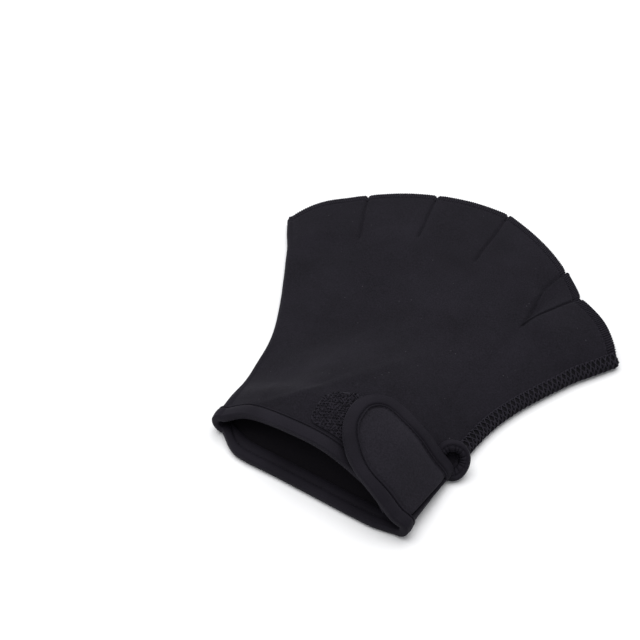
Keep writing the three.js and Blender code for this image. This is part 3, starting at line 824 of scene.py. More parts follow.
def over_thumb(v, over):
    """The place w at a distance over the surface past the top of the thumb's fold."""
    return BACK_TO + over / np.where(over > 0, np.pi * thumb_radius(v), cell_breadth(LAST - 1, v, True))


def beside_thumb(w, v):
    """Distance over the surface from the seam on the thumb's side, positive towards the palm."""
    past = w - BACK_TO
    per_column = np.where(past > 0, np.pi * thumb_radius(v), cell_breadth(LAST - 1, v, True))
    return past * per_column - seam_over(v)


def beside_little(w, v):
    """Distance from the seam under the little finger's side."""
    strip = SEAM_INSET - little_radius(v)
    on_palm = np.where(w > PALM_FROM, (PALM_TO - w) * cell_breadth(0, v, False) - strip, FAR)
    return np.where(w < 0, (1 + w) * strip, on_palm)


def flat_band(w, v):
    """How deep the flat seams' stitching presses the cloth down."""
    thumb = np.abs(beside_thumb(w, v)) + FAR * (strap_share(v) > 0.5)
    little = np.abs(beside_little(w, v)) / UNDER_SHARE + FAR * (v < UNDER_FROM)
    away = np.minimum(thumb, little)
    return FLAT_DEPTH * (1 - ease(FLAT_HALF - 0.3, FLAT_HALF + 0.5, away))


def fill_between(u, v):
    """How far the cloth stands up over the plain channels, nearly flat from seam to seam."""
    bent = follow_seams(u, v)
    before = cell_of(bent - 0.5)
    after = cell_of(before + 1)
    level = mix(crown(before, v), crown(after, v), ease(0, 1, bent - 0.5 - before))
    share = SEAM_FILL * ease(0.5, 0.9, np.minimum(u, LAST - u)) * ease(CHANNELS_FROM, CHANNELS_TO, v)
    return (level - crown(cell_of(bent), v) * arch(bent)) * share


def back_outer(w, v, above=0.0):
    """The shown outer face of the back, or points that far above it."""
    u = panel_column(w, True)
    depth = edge_depths(w, v, True)[0] + flat_band(w, v)
    point = back_skin(w, v, depth - back_lift(w, v) - above)
    point[..., 2] += fill_between(u, v) - seam_groove(u, v, True)
    return point


def back_inner(w, v, above=0.0):
    """The face of the back inside the glove, or points that far off it."""
    depth = edge_depths(w, v, True)[1] * under_tape(v) / WALL
    return back_skin(w, v, depth - back_lift(w, v) + above)


def back_lift(w, v):
    """The crease and the soft unevenness of the cloth."""
    plan = face_point(w, v, False)
    away, place = distance_to_line(plan[..., :2], CREASE)
    fade = ease(0, CREASE_FULL, place) * (1 - ease(CREASE_FADES, 1, place))
    crease = CREASE_HEIGHT * fade * np.exp(-(away / mix(CREASE_WIDTH, CREASE_SPREAD, place)) ** 2)
    ripple = sum(height * soft_noise(plan, size, seed) for height, size, seed in BACK_RIPPLES)
    ripple = ripple * ease(*RIPPLE_START, v) * (1 - 0.6 * ease(0.7, 0.8, v)) * (w > 0.3)
    at_side = ease(0, 1.5, w) * (1 - ease(BACK_TO - 0.9, BACK_TO - 0.2, w))
    return (crease + ripple) * at_side


def under_tape(v):
    """The wall's thickness, pressed thinner under the tape."""
    return mix(EDGE_WALL, WALL, ease(0.01, 0.09, v))


back_stops = np.concatenate([
    [-1, -0.85, -0.65, -0.3], np.linspace(0, 1, 15)[:-1],
    *[BACK_FROM + k + CELL_STOPS for k in range(LAST)], [BACK_TO],
])


def build_back():
    rows = front_rows(panel_column(back_stops, True), True)
    slit = thumb_radius(rows) - SLIT_INSET
    end = over_thumb(rows, mix(SEAM_OVER - SEAM_CLEAR, slit, strap_share(rows)))
    in_last_cell = mix(BACK_TO - 1, end, back_stops - BACK_TO + 1)
    w = np.where(back_stops >= BACK_TO - 1, in_last_cell, back_stops)
    return wall(back_outer(w, rows), back_inner(w, rows))


back = new_piece("glove_back", build_back(), back_cloth, ["back_panel"])
paint_inside_light(back, len(back_stops), inside_painted_light)


# Palm, from its seam on the back round the thumb's side and under the hand. Beside the strap
# it ends half way up the fold, at the strap's root seam.
ROOT_NEAR = BACK_TO + 0.3
ROOT_FAR = BACK_TO + 0.58
PALM_GROOVE = 0.45
PALM_RIPPLE = (0.12, 18, 5.3)
PALM_LAST_STEP = 0.1
ROOT_CLEAR = 0.03
root_span = WRIST * STRAP_WIDTH / wrist_run


def root_at(v):
    return mix(ROOT_NEAR, ROOT_FAR, np.clip(v / root_span, -0.1, 1.1))


def strap_side(v):
    return 1 - ease(root_span, root_span + 0.03, v)


def palm_outer(w, v, above=0.0):
    """The shown outer face of the palm, or points that far above it."""
    groove = PALM_GROOVE * seam_groove(panel_column(w, False), v, False) * (w >= PALM_FROM)
    depth = edge_depths(w, v, False)[0] + groove + flat_band(w, v) + palm_ripple(w, v)
    return palm_skin(w, v, depth - above)


def palm_inner(w, v, above=0.0):
    """The face of the palm inside the glove, or points that far off it."""
    depth = edge_depths(w, v, False)[1] * under_tape(v) / WALL
    return palm_skin(w, v, depth + palm_ripple(w, v) + above)


def palm_ripple(w, v):
    height, size, seed = PALM_RIPPLE
    away = height * np.abs(soft_noise(face_point(w, v, True), size, seed))
    return away * (w > PALM_FROM) * ease(*RIPPLE_START, v)


palm_fold = np.linspace(0, 1, 20)[1:-1]
palm_cells = np.concatenate([PALM_FROM + k + CELL_STOPS[::2] for k in range(LAST)])
palm_cells = palm_cells[palm_cells < PALM_TO - 0.25]
palm_ends = [PALM_TO - PALM_LAST_STEP, PALM_TO]
palm_stops = np.concatenate([[BACK_TO], BACK_TO + palm_fold, palm_cells, palm_ends])


def build_palm():
    rows = front_rows(panel_column(palm_stops, False), False)
    beside_strap = root_at(rows) + ROOT_CLEAR
    start = mix(over_thumb(rows, seam_over(rows) + SEAM_CLEAR), beside_strap, strap_side(rows))
    w = np.broadcast_to(palm_stops, rows.shape).copy()
    w[:, 0] = start[:, 0]
    fold = slice(1, 1 + len(palm_fold))
    w[:, fold] = mix(start[:, fold], PALM_FROM, palm_fold)
    w[:, -2:] = little_edge(rows)[:, -2:] - [PALM_LAST_STEP, 0]
    return wall(palm_outer(w, rows), palm_inner(w, rows))


palm = new_piece("glove_palm", build_palm(), palm_cloth, ["palm_panel"])
paint_inside_light(palm, len(palm_stops), inside_painted_light)


# Tape folded over an edge: on both faces a soft roll, a sewn groove and a narrow border
ROLL_STOPS = np.array([0.03, 0.1, 0.2, 0.33, 0.47, 0.6, 0.72, 0.82, 0.9, 0.95, 0.98])
BORDER_STOPS = np.array([0, 0.1, 0.22, 0.4, 0.6, 0.8, 0.92, 0.98, 1])
GROOVE_SHARE = 0.85
TAPE_THIN = 0.85
ROLL_PUFF = 0.35
TAPE_CLOTH = 0.85
TAPE_SEAT = 0.05
OUTER_WIDTH = 5.3
OUTER_GROOVE = 4.5
INNER_GROOVE = 4.1
LIP_WIDTH = 7.4
LIP_GROOVE = 3.0


def leg_profile(width, groove):
    """Distances from the edge and thicknesses of one leg of the tape, for each station."""
    width, groove = np.broadcast_arrays(scalar(width), scalar(groove))
    roll = groove[..., None] * ROLL_STOPS
    border = groove[..., None] + (width - groove)[..., None] * BORDER_STOPS
    puff = TAPE_THIN + ROLL_PUFF * np.sin(np.pi * ROLL_STOPS) ** 0.8
    puff = puff * (1 - hump((GROOVE_SHARE, 1, 0.09), ROLL_STOPS))
    tail = np.sqrt(1 - (np.maximum(BORDER_STOPS - 0.7, 0) / 0.301) ** 2)
    flat = TAPE_THIN * tail * (1 - hump((GROOVE_SHARE, 0, 0.24), BORDER_STOPS))
    distances = np.moveaxis(np.concatenate([roll, border], -1), -1, 0)
    thick = np.concatenate([puff, flat])[:, None] * TAPE_CLOTH
    return distances, np.broadcast_to(thick, distances.shape)


def tape_section(skin, away, inner_width, inner_groove):
    """Outer and inner face of the tape at each station. skin(s, depth) gives points of the wall."""
    distances, thick = leg_profile(np.full(len(away), OUTER_WIDTH), OUTER_GROOVE)
    outer = [skin(s, -TAPE_SEAT - t) for s, t in zip(distances[::-1], thick[::-1])]
    inner = [skin(s, np.full(len(away), -TAPE_SEAT)) for s in distances[::-1]]
    half = EDGE_WALL / 2
    for angle in np.linspace(np.pi / 2, -np.pi / 2, 13)[1:-1]:
        for clear, face in ((TAPE_SEAT + TAPE_CLOTH, outer), (TAPE_SEAT, inner)):
            point = skin(np.zeros(len(away)), np.full(len(away), half - (half + clear) * math.sin(angle)))
            face.append(point + away * (clear * math.cos(angle)))
    distances, thick = leg_profile(np.broadcast_to(inner_width, len(away)), inner_groove)
    outer += [skin(s, EDGE_WALL + TAPE_SEAT + t) for s, t in zip(distances, thick)]
    inner += [skin(s, np.full(len(away), EDGE_WALL + TAPE_SEAT)) for s in distances]
    return np.stack(outer, axis=1), np.stack(inner, axis=1)


NEAR = 0.01
SKINS = (back_skin, palm_skin)


def lip_forward(w, is_palm):
    """The way into the glove from its lip, in millimetres for a whole step of v."""
    return (face_point(w, NEAR, is_palm) - face_point(w, 0.0, is_palm)) / NEAR


def lip_section(w, is_palm, inner_width, inner_groove):
    """The tape over the edge of a panel at the cuff."""
    forward = lip_forward(w, is_palm)
    speed = np.linalg.norm(forward, axis=-1)
    edge = lambda s, depth: SKINS[is_palm](w, s / speed, depth)
    return tape_section(edge, -unit(forward), inner_width, inner_groove)


# Strap over the back of the cuff
FIRST_GUESS = (4.5, 0.1)
GUESSES = 12


def back_place(plan):
    """The places w, v on the back that lie over plan points."""
    u, v = (np.full(plan.shape[:-1], first) for first in FIRST_GUESS)
    step = 1e-3
    for _ in range(GUESSES):
        here = plan_point(u, v, True)
        du = (plan_point(u + step, v, True) - here) / step
        dv = (plan_point(u, v + step, True) - here) / step
        miss = plan - here
        area = du[..., 0] * dv[..., 1] - du[..., 1] * dv[..., 0]
        u = np.clip(u + (miss[..., 0] * dv[..., 1] - miss[..., 1] * dv[..., 0]) / area, 0, LAST - step)
        v = np.clip(v + (du[..., 0] * miss[..., 1] - du[..., 1] * miss[..., 0]) / area, 0, 1 - step)
    return BACK_FROM + u, v


def over_back(plan, height):
    w, v = back_place(plan)
    point = face_point(w, v, False)
    point[..., 2] += np.broadcast_to(scalar(height), point.shape[:-1]) * steepness(w, v)
    return point


strap_run = np.array([-math.cos(math.radians(STRAP_TURN)), math.sin(math.radians(STRAP_TURN))])
strap_cross = np.array([strap_run[1], -strap_run[0]])
ROOT_GAP = 0.4


def wrap_end(v):
    return plan_point(thumb_edge(v, SEAM_INSET) - BACK_FROM, v, True)


strap_root = wrap_end(scalar(0.0)) + strap_cross * STRAP_WIDTH / 2


def strap_plan(run, cross):
    run, cross = np.broadcast_arrays(scalar(run), scalar(cross))
    side = strap_cross * (cross * STRAP_WIDTH / 2)[..., None]
    straight = strap_root + strap_run * run[..., None] + side
    root = wrap_end(np.maximum(cross + 1, 0) / 2 * root_span) + strap_run * ROOT_GAP
    hold = np.maximum(1 - run / STRAP_LENGTH, 0) ** 2
    return straight + (root - strap_root - side) * hold[..., None]


# One smooth surface carries the strap and its tape, from below its root seam to past its tip.
# Its places are millimetres along the strap, from the top of the fold, and across it.
ROOT_RUN = -9.0
SURFACE_FROM = -12.0
SURFACE_TO = STRAP_LENGTH + 4
SURFACE_STEP = 0.5
SURFACE_HALF = 16.0
SURFACE_PAST = 16
SLOPE_STEPS = 8
STRAP_SINK = 1.0
SMOOTH_ALONG = 5
SMOOTH_ACROSS = 3


def smooth_rows(grid, spread):
    reach = 3 * spread
    weights = np.exp(-0.5 * (np.arange(-reach, reach + 1) / spread) ** 2)
    weights /= weights.sum()
    first = 2 * grid[:1] - grid[1:reach + 1][::-1]
    last = 2 * grid[-1:] - grid[-reach - 1:-1][::-1]
    padded = np.concatenate([first, grid, last])
    return sum(weight * padded[k:k + len(grid)] for k, weight in enumerate(weights))


def build_surface():
    across_strap = np.arange(-SURFACE_HALF, SURFACE_HALF + SURFACE_STEP / 2, SURFACE_STEP)
    share = across_strap / (STRAP_WIDTH / 2)
    up = np.arange(0, SURFACE_TO, SURFACE_STEP)
    tongue = over_back(strap_plan(up[:, None], share[None, :]), strap_layer - STRAP_SINK)
    v = (share + 1) / 2 * root_span
    below = np.arange(SURFACE_FROM, 0, SURFACE_STEP)[:, None]
    w = mix(thumb_edge(v, SEAM_INSET), root_at(v), below / ROOT_RUN)
    side = palm_skin(w, np.broadcast_to(v, w.shape), STRAP_SINK * ease(ROOT_RUN, 0, below) + 0 * w)
    grid = np.concatenate([side, tongue])
    past = np.arange(1, SURFACE_PAST + 1)[None, :, None]
    near = grid[:, :1] - (grid[:, SLOPE_STEPS:SLOPE_STEPS + 1] - grid[:, :1]) / SLOPE_STEPS * past
    far = grid[:, -1:] + (grid[:, -1:] - grid[:, -SLOPE_STEPS - 1:-SLOPE_STEPS]) / SLOPE_STEPS * past
    grid = np.concatenate([near[:, ::-1], grid, far], axis=1)
    grid = smooth_rows(grid, SMOOTH_ALONG)
    grid = smooth_rows(grid.transpose(1, 0, 2), SMOOTH_ACROSS).transpose(1, 0, 2)
    normal = unit(np.cross(np.gradient(grid, axis=0), np.gradient(grid, axis=1)))
    return grid, normal * np.sign(normal[..., 2].mean())


surface_points, surface_normals = build_surface()


def on_surface(run, across_strap):
    """Points of the strap's outer face and the directions out of it."""
    rows, columns = surface_points.shape[:2]
    i = np.clip((run - SURFACE_FROM) / SURFACE_STEP, 0, rows - 1.001)
    j = np.clip((across_strap + SURFACE_HALF) / SURFACE_STEP + SURFACE_PAST, 0, columns - 1.001)
    i, j = np.broadcast_arrays(i, j)
    low_i = i.astype(int)
    low_j = j.astype(int)
    f = (i - low_i)[..., None]
    g = (j - low_j)[..., None]
    read = lambda table: mix(mix(table[low_i, low_j], table[low_i + 1, low_j], f),
                             mix(table[low_i, low_j + 1], table[low_i + 1, low_j + 1], f), g)
    return read(surface_points), unit(read(surface_normals))


# The strap's outline, from its near root corner round the tip to the far one
STRAP_OUTLINE = {
    "run": [-9, -1, 7.5, 12, 16.5, 21.5, 26, 29.5, 32.5, 34, 34, 31, 26, 20, 15, 9.5, 4, -2.5, -9, -11.5],
    "across": [-18.4, -19.2, -19.8, -19.8, -18.8, -16.4, -13, -9.5, -4.5, 2, 8.5, 14.5, 17.8, 18.3, 17.6,
               17, 17.2, 18, 17.8, 17.4],
}
outline_xy = np.array([STRAP_OUTLINE["run"], STRAP_OUTLINE["across"]], float).T
outline_length = lengths_along(outline_xy)
ROOT_STATIONS = 2.5


def strap_outline(length):
    """Places on the strap's outline and the way out of it, at lengths along it."""
    place = through(outline_length, outline_xy, length)
    ahead = through(outline_length, outline_xy, np.minimum(length + 0.2, outline_length[-1]))
    behind = through(outline_length, outline_xy, np.maximum(length - 0.2, 0))
    run = unit(ahead - behind)
    return place, np.stack([run[..., 1], -run[..., 0]], -1)


def inside_strap(place, out, s, depth):
    """A point that lies s inside the strap's outline and as deep in its wall."""
    at = place - out * (scalar(s) + TAPE_SEAT + TAPE_CLOTH)[..., None]
    point, normal = on_surface(at[..., 0], at[..., 1])
    return point - normal * scalar(depth)[..., None]


STRAP_STOPS = np.array([0.1, 1.5, 3, 4.2, 4.7, 5.0, 5.2, 5.4, 5.6, 5.8, 6.0, 6.2, 6.4, 6.7, 7.2, 8.0])
STRAP_ROWS = 120
STRAP_MIDDLE = 16
STRAP_RIPPLE = (0.1, 8, 1.3)


def build_strap():
    """The strap's wall, with rows from its near edge to its far edge."""
    length = outline_length[-1] - ROOT_STATIONS
    place, out = strap_outline(np.linspace(0, length, 2 * STRAP_ROWS + 1))
    stops = STRAP_STOPS[None, :]
    near = place[:STRAP_ROWS + 1, None] - out[:STRAP_ROWS + 1, None] * stops[..., None]
    far = (place[:, None] - out[:, None] * stops[..., None])[::-1][:STRAP_ROWS + 1, ::-1]
    share = np.linspace(0, 1, STRAP_MIDDLE)[None, 1:-1, None]
    at = np.concatenate([near, mix(near[:, -1:], far[:, :1], share), far], axis=1)
    inside = np.concatenate([STRAP_STOPS, np.full(STRAP_MIDDLE - 2, 9.0), STRAP_STOPS[::-1]])
    point, normal = on_surface(at[..., 0], at[..., 1])
    height, size, seed = STRAP_RIPPLE
    relief = strap_relief(at[..., 0], inside[None, :]) + height * soft_noise(point, size, seed)
    thin = mix(EDGE_WALL, WALL, ease(2, 8, inside))[None, :, None]
    return wall(point + normal * relief[..., None], point - normal * thin)


RIDGE = (0.3, 6.15, 0.22)
RIDGE_GROOVE = (0.25, 6.6, 0.25)
ROOT_GROOVE = (0.9, ROOT_RUN, 0.7)
STRAP_CROWN = 0.35


def strap_relief(run, inside):
    """Height over the strap's face: a fine ridge inside the tape, and the root seam."""
    ridge = hump(RIDGE, inside) - hump(RIDGE_GROOVE, inside)
    return ridge + STRAP_CROWN * ease(6.3, 9, inside) - hump(ROOT_GROOVE, run)


strap = new_piece("strap_pad", build_strap(), strap_cloth_painted_light, ["strap"])


def strap_edge_section():
    place, out = strap_outline(np.linspace(0.3, outline_length[-1], 240))
    skin = lambda s, depth: inside_strap(place, out, s, depth)
    zero = np.zeros(len(place))
    away = unit(skin(zero, zero) - skin(zero + 1, zero))
    return tape_section(skin, away, TAPE_INNER_WIDTH, INNER_GROOVE)


SLIT_TUCK = 2.5


def build_edge_tape():
    """One tape: along the upper lip, round the little finger's corner, along the lower lip,
    up the thumb's fold, round the strap and down to the slit's end."""
    slit = float(thumb_edge(0.0, SLIT_INSET - SLIT_TUCK))
    upper = np.concatenate([np.linspace(slit, BACK_FROM, 90), np.linspace(BACK_FROM, 0, 26)[1:]])
    root = float(root_at(0.0))
    lower = np.concatenate([np.linspace(float(little_edge(0.0)) - NEAR, PALM_FROM, 90),
                            np.linspace(PALM_FROM, root, 30)[1:-1]])
    in_mouth = ease(PALM_TO, PALM_TO - 0.8, lower) * ease(PALM_FROM - 0.4, PALM_FROM + 0.4, lower)
    wide = mix(TAPE_INNER_WIDTH, LIP_WIDTH, in_mouth)
    groove = mix(INNER_GROOVE, LIP_GROOVE, in_mouth)
    parts = [
        lip_section(upper, False, TAPE_INNER_WIDTH, INNER_GROOVE),
        lip_section(lower, True, wide, groove),
        strap_edge_section(),
    ]
    return wall(*(np.concatenate([part[side] for part in parts]) for side in (0, 1)))


new_piece("edge_tape", build_edge_tape(), tape_finish, ["cuff_binding", "strap_binding"])


# Touch fastener: a pad of loops on the cuff and a pad of hooks under the strap
PAD_CLOTH = 0.6
PAD_GAP = 0.05
ROW_SHARE = 0.87
LOOP_PITCH = 1.45
LOOP_THREAD = 0.15
LOOP_LENGTH = 38.0
LOOP_WIDTH = 26.0
LOOP_CORNER = 16.5
LOOP_LOW_CORNER = 4.0
LOOP_MARGIN = 0.3

# Shifts along and across, turn, size, height and lean of the loops
LOOP_SPANS = [(-0.16, 0.16), (-0.16, 0.16), (0, np.pi), (0.42, 0.6), (0.4, 0.7), (-0.35, 0.35)]
lip_u = np.linspace(float(back_edge(0.0)) - BACK_FROM - 0.15, 0.5, 120)
lip_line = plan_point(lip_u, scalar(0.0), True)
lip_length = lengths_along(lip_line)


def patch_place(run, across_patch):
    """Places w, v on the back for places on the loop patch, run from its rounded end."""
    u = np.interp(LOOP_LENGTH - run, lip_length, lip_u)
    step = 0.1
    per_row = np.linalg.norm(plan_point(u, step, True) - plan_point(u, 0.0, True), axis=-1) / step
    middle = TAPE_WIDTH + GAP + LOOP_WIDTH / 2
    return BACK_FROM + u, (middle + across_patch) / per_row


def patch_half(run, corner=LOOP_CORNER):
    bite = np.maximum(corner - run, 0)
    return LOOP_WIDTH / 2 - corner + np.sqrt(np.maximum(corner ** 2 - bite ** 2, 0))


def hexagons(length, width, pitch):
    """Places of a field of staggered dots, from 0 along and both ways across."""
    along_field = np.arange(pitch / 2, length, pitch * ROW_SHARE)
    across_field = np.arange(-width / 2, width / 2, pitch)
    run, side = np.meshgrid(along_field, across_field, indexing="ij")
    side = side + pitch / 2 * (np.arange(len(along_field)) % 2)[:, None]
    return run.ravel(), side.ravel()


def build_loop_pad():
    run = np.concatenate([LOOP_CORNER * (1 - np.sin(np.linspace(np.pi / 2, 0.1, 12))),
                          np.linspace(LOOP_CORNER, LOOP_LENGTH, 30)])[:, None]
    low = -patch_half(run, LOOP_LOW_CORNER)
    side = low + (patch_half(run) - low) * np.linspace(0, 1, 24)[None, :]
    w, v = patch_place(run + 0 * side, side)
    return wall(back_skin(w, v, -PAD_CLOTH), back_skin(w, v, -PAD_GAP))


def build_loops(random):
    """Small upright loops of thread, turned at random."""
    run, side = hexagons(LOOP_LENGTH, LOOP_WIDTH, LOOP_PITCH)
    low = LOOP_MARGIN - patch_half(run, LOOP_LOW_CORNER)
    keep = (side < patch_half(run) - LOOP_MARGIN) & (side > low)
    run = np.repeat(run[keep], 2)
    side = np.repeat(side[keep], 2)
    draws = [random.uniform(*span, (len(run), 1)) for span in LOOP_SPANS]
    run_shift, side_shift, turn, size, height, lean = draws
    angle = np.linspace(-0.25, np.pi + 0.25, 7)[None, :]
    out = size * np.cos(angle)
    along_field = run[:, None] + run_shift + out * np.cos(turn) + lean * np.sin(angle)
    w, v = patch_place(along_field, side[:, None] + side_shift + out * np.sin(turn))
    depth = -PAD_CLOTH - height * np.sin(angle)
    return tubes(back_skin(w, v, depth), LOOP_THREAD, 3)


random = np.random.default_rng(7)
loops = joined([build_loop_pad(), build_loops(random)])
new_piece("loop_pad", loops, loop_finish, ["loop_patch"])
HOOK_FROM = 3.0
HOOK_TO = 28.0
HOOK_HALF = 12.0
HOOK_ROUND = 12
HOOK_ROUND_TO = HOOK_TO + 4
HOOK_PITCH = 1.3
HOOK_MARGIN = 0.4
HOOK_REACH = 0.28
HOOK_HEIGHT = 0.45
HOOK_THREAD = 0.09


def hook_half(run):
    """Half the breadth of the hook pad, narrowing towards the strap's tip."""
    return HOOK_HALF * np.sqrt(np.clip((HOOK_ROUND_TO - run) / HOOK_ROUND, 0, 1))


def build_hook_pad():
    run = np.linspace(HOOK_FROM, HOOK_TO, 24)[:, None]
    side = np.linspace(-1, 1, 20)[None, :] * hook_half(run)
    point, normal = on_surface(run + 0 * side, side)
    return wall(point - normal * (WALL + PAD_GAP), point - normal * (WALL + PAD_CLOTH))


def build_hooks(random):
    run, side = hexagons(HOOK_TO - HOOK_FROM, 2 * HOOK_HALF, HOOK_PITCH)
    run = run + HOOK_FROM
    keep = np.abs(side) < hook_half(run) - HOOK_MARGIN
    run = run[keep, None]
    side = side[keep, None]
    turn = random.uniform(0, 2 * np.pi, run.shape)
    angle = np.linspace(-0.2, np.pi + 0.6, 7)[None, :]
    out = HOOK_REACH * (1 - np.cos(angle))
    point, normal = on_surface(run + out * np.cos(turn), side + out * np.sin(turn))
    depth = WALL + PAD_CLOTH + HOOK_HEIGHT * np.sin(angle)
    return tubes(point - normal * depth[..., None], HOOK_THREAD, 3)


hooks = joined([build_hook_pad(), build_hooks(random)])
hook_pad = new_piece("hook_pad", hooks, hook_finish, ["hook_patch"])


# Stitching of the finger seams, the tape and the strap
SEAM_PITCH = 2.6
SEAM_THREAD = 0.24
TAPE_STITCH = (2.0, 0.7, 0.17)
RIDGE_STITCHES = 5.25
STITCH_OUT = 0.3
STITCH_OUT_RIDGE = 0.28
STRAIGHT_UP = np.array([0.0, 0.0, 1.0])


def finger_seam_stitches(k):
    """Stitches in the sewn line over the back between two fingers."""
    v = np.linspace(SEAM_STARTS[k] + 0.012, 0.975, 160)
    u = seam_column(np.full(v.shape, k), v)
    line = back_outer(BACK_FROM + u, v, 0.02)
    return stitch_row(line, np.broadcast_to(STRAIGHT_UP, line.shape), SEAM_PITCH, 0.7, SEAM_THREAD)


def lip_stitches(w, is_palm, distance, depth):
    v = distance / np.linalg.norm(lip_forward(w, is_palm), axis=-1)
    line, deeper = (SKINS[is_palm](w, v, scalar(place)) for place in (depth, depth - 0.5))
    return stitch_row(line, unit(deeper - line) * np.sign(-depth), *TAPE_STITCH)


def strap_stitches(distance, depth):
    place, out = strap_outline(np.linspace(2, outline_length[-1] - ROOT_STATIONS - 1, 300))
    inset = np.full(len(place), distance)
    line, above = (inside_strap(place, out, inset, at) for at in (depth, depth - 1))
    return stitch_row(line, unit(above - line), *TAPE_STITCH)


def build_seam_stitches():
    palm_line = np.linspace(PALM_TO - 0.35, PALM_FROM + 0.1, 200)
    back_line = np.linspace(float(back_edge(0.0)), BACK_FROM + 0.2, 200)
    return joined([
        *[finger_seam_stitches(k) for k in range(1, LAST)],
        lip_stitches(back_line, False, OUTER_GROOVE, -STITCH_OUT),
        lip_stitches(palm_line, True, LIP_GROOVE, EDGE_WALL + STITCH_OUT),
        strap_stitches(OUTER_GROOVE, -STITCH_OUT),
        strap_stitches(RIDGE_STITCHES, -STITCH_OUT_RIDGE),
    ])


new_piece("seam_threads", build_seam_stitches(), seam_thread)


# Overlocked front edges: threads that wrap round both panels
WRAP_PITCH = 1.15
WRAP_THREAD = 0.24
WRAP_SLANT = 0.3
OFF_FLOOR = 0.02
UNDER_WRAPS_FROM = -0.9
NEEDLE_FROM = 0.1
NEEDLE_AT = BAND + 0.7
NEEDLE_STITCH = (2.3, 0.7, 0.2)
WRAP_STOPS = np.array([BAND, 3.7, 2.6, 1.5, 0.7, 0.25])


def front_wraps(outer, inner, first, last, is_back):
    places = np.linspace(first, last, 1200)
    at = evenly(outer(places, np.ones(places.shape)), WRAP_PITCH)
    w = np.interp(at, np.arange(len(places)), places)
    slant = WRAP_SLANT * np.gradient(w)[:, None] * WRAP_STOPS / BAND
    w = w[:, None]
    v = 1 - WRAP_STOPS / front_speed(panel_column(w, is_back), is_back)
    limit = lambda places: np.clip(places, min(first, last), max(first, last))
    top = outer(limit(w + slant), v, WRAP_THREAD * 0.5)
    low = inner(limit(w - slant), v, WRAP_THREAD * 0.5)[:, ::-1]
    end = outer(w, np.ones(w.shape))
    middle = end + unit(end - outer(w, np.full(w.shape, 0.97))) * WRAP_THREAD
    path = np.concatenate([top, middle, low], axis=1)
    path[..., 2] = np.maximum(path[..., 2], WRAP_THREAD + OFF_FLOOR)
    return tubes(path, WRAP_THREAD, 4)


def front_needle(outer, first, last, is_back):
    w = np.linspace(first, last, 900)
    v = 1 - NEEDLE_AT / front_speed(panel_column(w, is_back), is_back)
    line = outer(w, v, 0.06)
    return stitch_row(line, unit(outer(w, v, 1.0) - line), *NEEDLE_STITCH)


def build_front_stitches():
    seam = float(over_thumb(1.0, SEAM_OVER))
    clear = 0.01
    stop = float(little_edge(1.0)) - 3 * clear
    return joined([
        front_wraps(back_outer, back_inner, UNDER_WRAPS_FROM, seam - clear, True),
        front_wraps(palm_outer, palm_inner, seam + clear, stop, False),
        front_needle(back_outer, NEEDLE_FROM, seam - clear, True),
    ])


new_piece("front_threads", build_front_stitches(), thread_finish)


# Flat seams: a band of crossing zigzags along the thumb's side and under the little finger's side
FLAT_PITCH = 5.2
FLAT_STEPS = 12
FLAT_THREAD = 0.3
FLAT_INSET = 0.1
CROSSING_RISE = 0.35
FLAT_FROM = 0.212
UNDER_THREAD = 0.14
SHADE_SHEET_THICKNESS = 0.06


def beside_thumb_seam(v, over_seam, above):
    """A point at a distance over the surface from the seam, positive towards the palm."""
    w = over_thumb(v, over_seam + seam_over(v))
    normal = face_normal(w, v, True, [BACK_FROM, PALM_TO])
    return face_point(w, v, True) + normal * (scalar(above) - FLAT_DEPTH)[..., None]


def beside_little_seam(v, over_seam, above):
    strip = SEAM_INSET - little_radius(v)
    over = over_seam * UNDER_SHARE
    w = np.where(over > 0, over / strip - 1, PALM_TO - (strip - over) / cell_breadth(0, v, False))
    point = face_point(w, v, False)
    point[..., 2] += FLAT_DEPTH - above
    return point


def flat_seam(beside, start, radius):
    """Two bands of crossing zigzags with stitches along their middle and their borders."""
    v = np.linspace(start, 0.985, 900)
    line = beside(v, 0 * v, 0.0)
    spot = evenly(line, FLAT_PITCH / FLAT_STEPS)
    v_even = np.interp(spot, np.arange(len(v)), v)
    phase = np.arange(len(v_even)) * 2 * np.pi / FLAT_STEPS
    paths = []
    for side in (-1, 1):
        for turn in (0, np.pi):
            swing = side * (FLAT_HALF / 2) + (FLAT_HALF / 2 - FLAT_INSET) * np.sin(phase + turn)
            rise = radius * (1.0 + CROSSING_RISE * np.cos(2 * phase + turn))
            paths.append(beside(v_even, swing, rise))
    parts = [tubes(np.array(paths), radius)]
    for over_seam in (-FLAT_HALF + FLAT_INSET, 0, FLAT_HALF - FLAT_INSET):
        row = beside(v, 0 * v + over_seam, radius)
        up = unit(beside(v, 0 * v + over_seam, radius + 1.0) - row)
        parts.append(stitch_row(row, up, FLAT_PITCH / 2, 0.75, radius, radius))
    return joined(parts)


# A near-black sheet under the zigzags: painted shade in the holes between the threads
def flat_shade_sheet(beside, start):
    over_seam, v = np.meshgrid(np.linspace(-FLAT_HALF, FLAT_HALF, 9), np.linspace(start, 0.99, 160))
    return wall(beside(v, over_seam, SHADE_SHEET_THICKNESS), beside(v, over_seam, 0.0))


FLAT_SEAMS = [(beside_thumb_seam, FLAT_FROM, FLAT_THREAD), (beside_little_seam, UNDER_FROM, UNDER_THREAD)]
zigzags = joined([flat_seam(*seam) for seam in FLAT_SEAMS])
new_piece("side_threads", zigzags, thread_finish)
# The near-black sheets under the zigzags are painted shade
shade_sheets = joined([flat_shade_sheet(beside, start) for beside, start, _ in FLAT_SEAMS])
new_piece("side_painted_shade", shade_sheets, shade_sheet_finish)


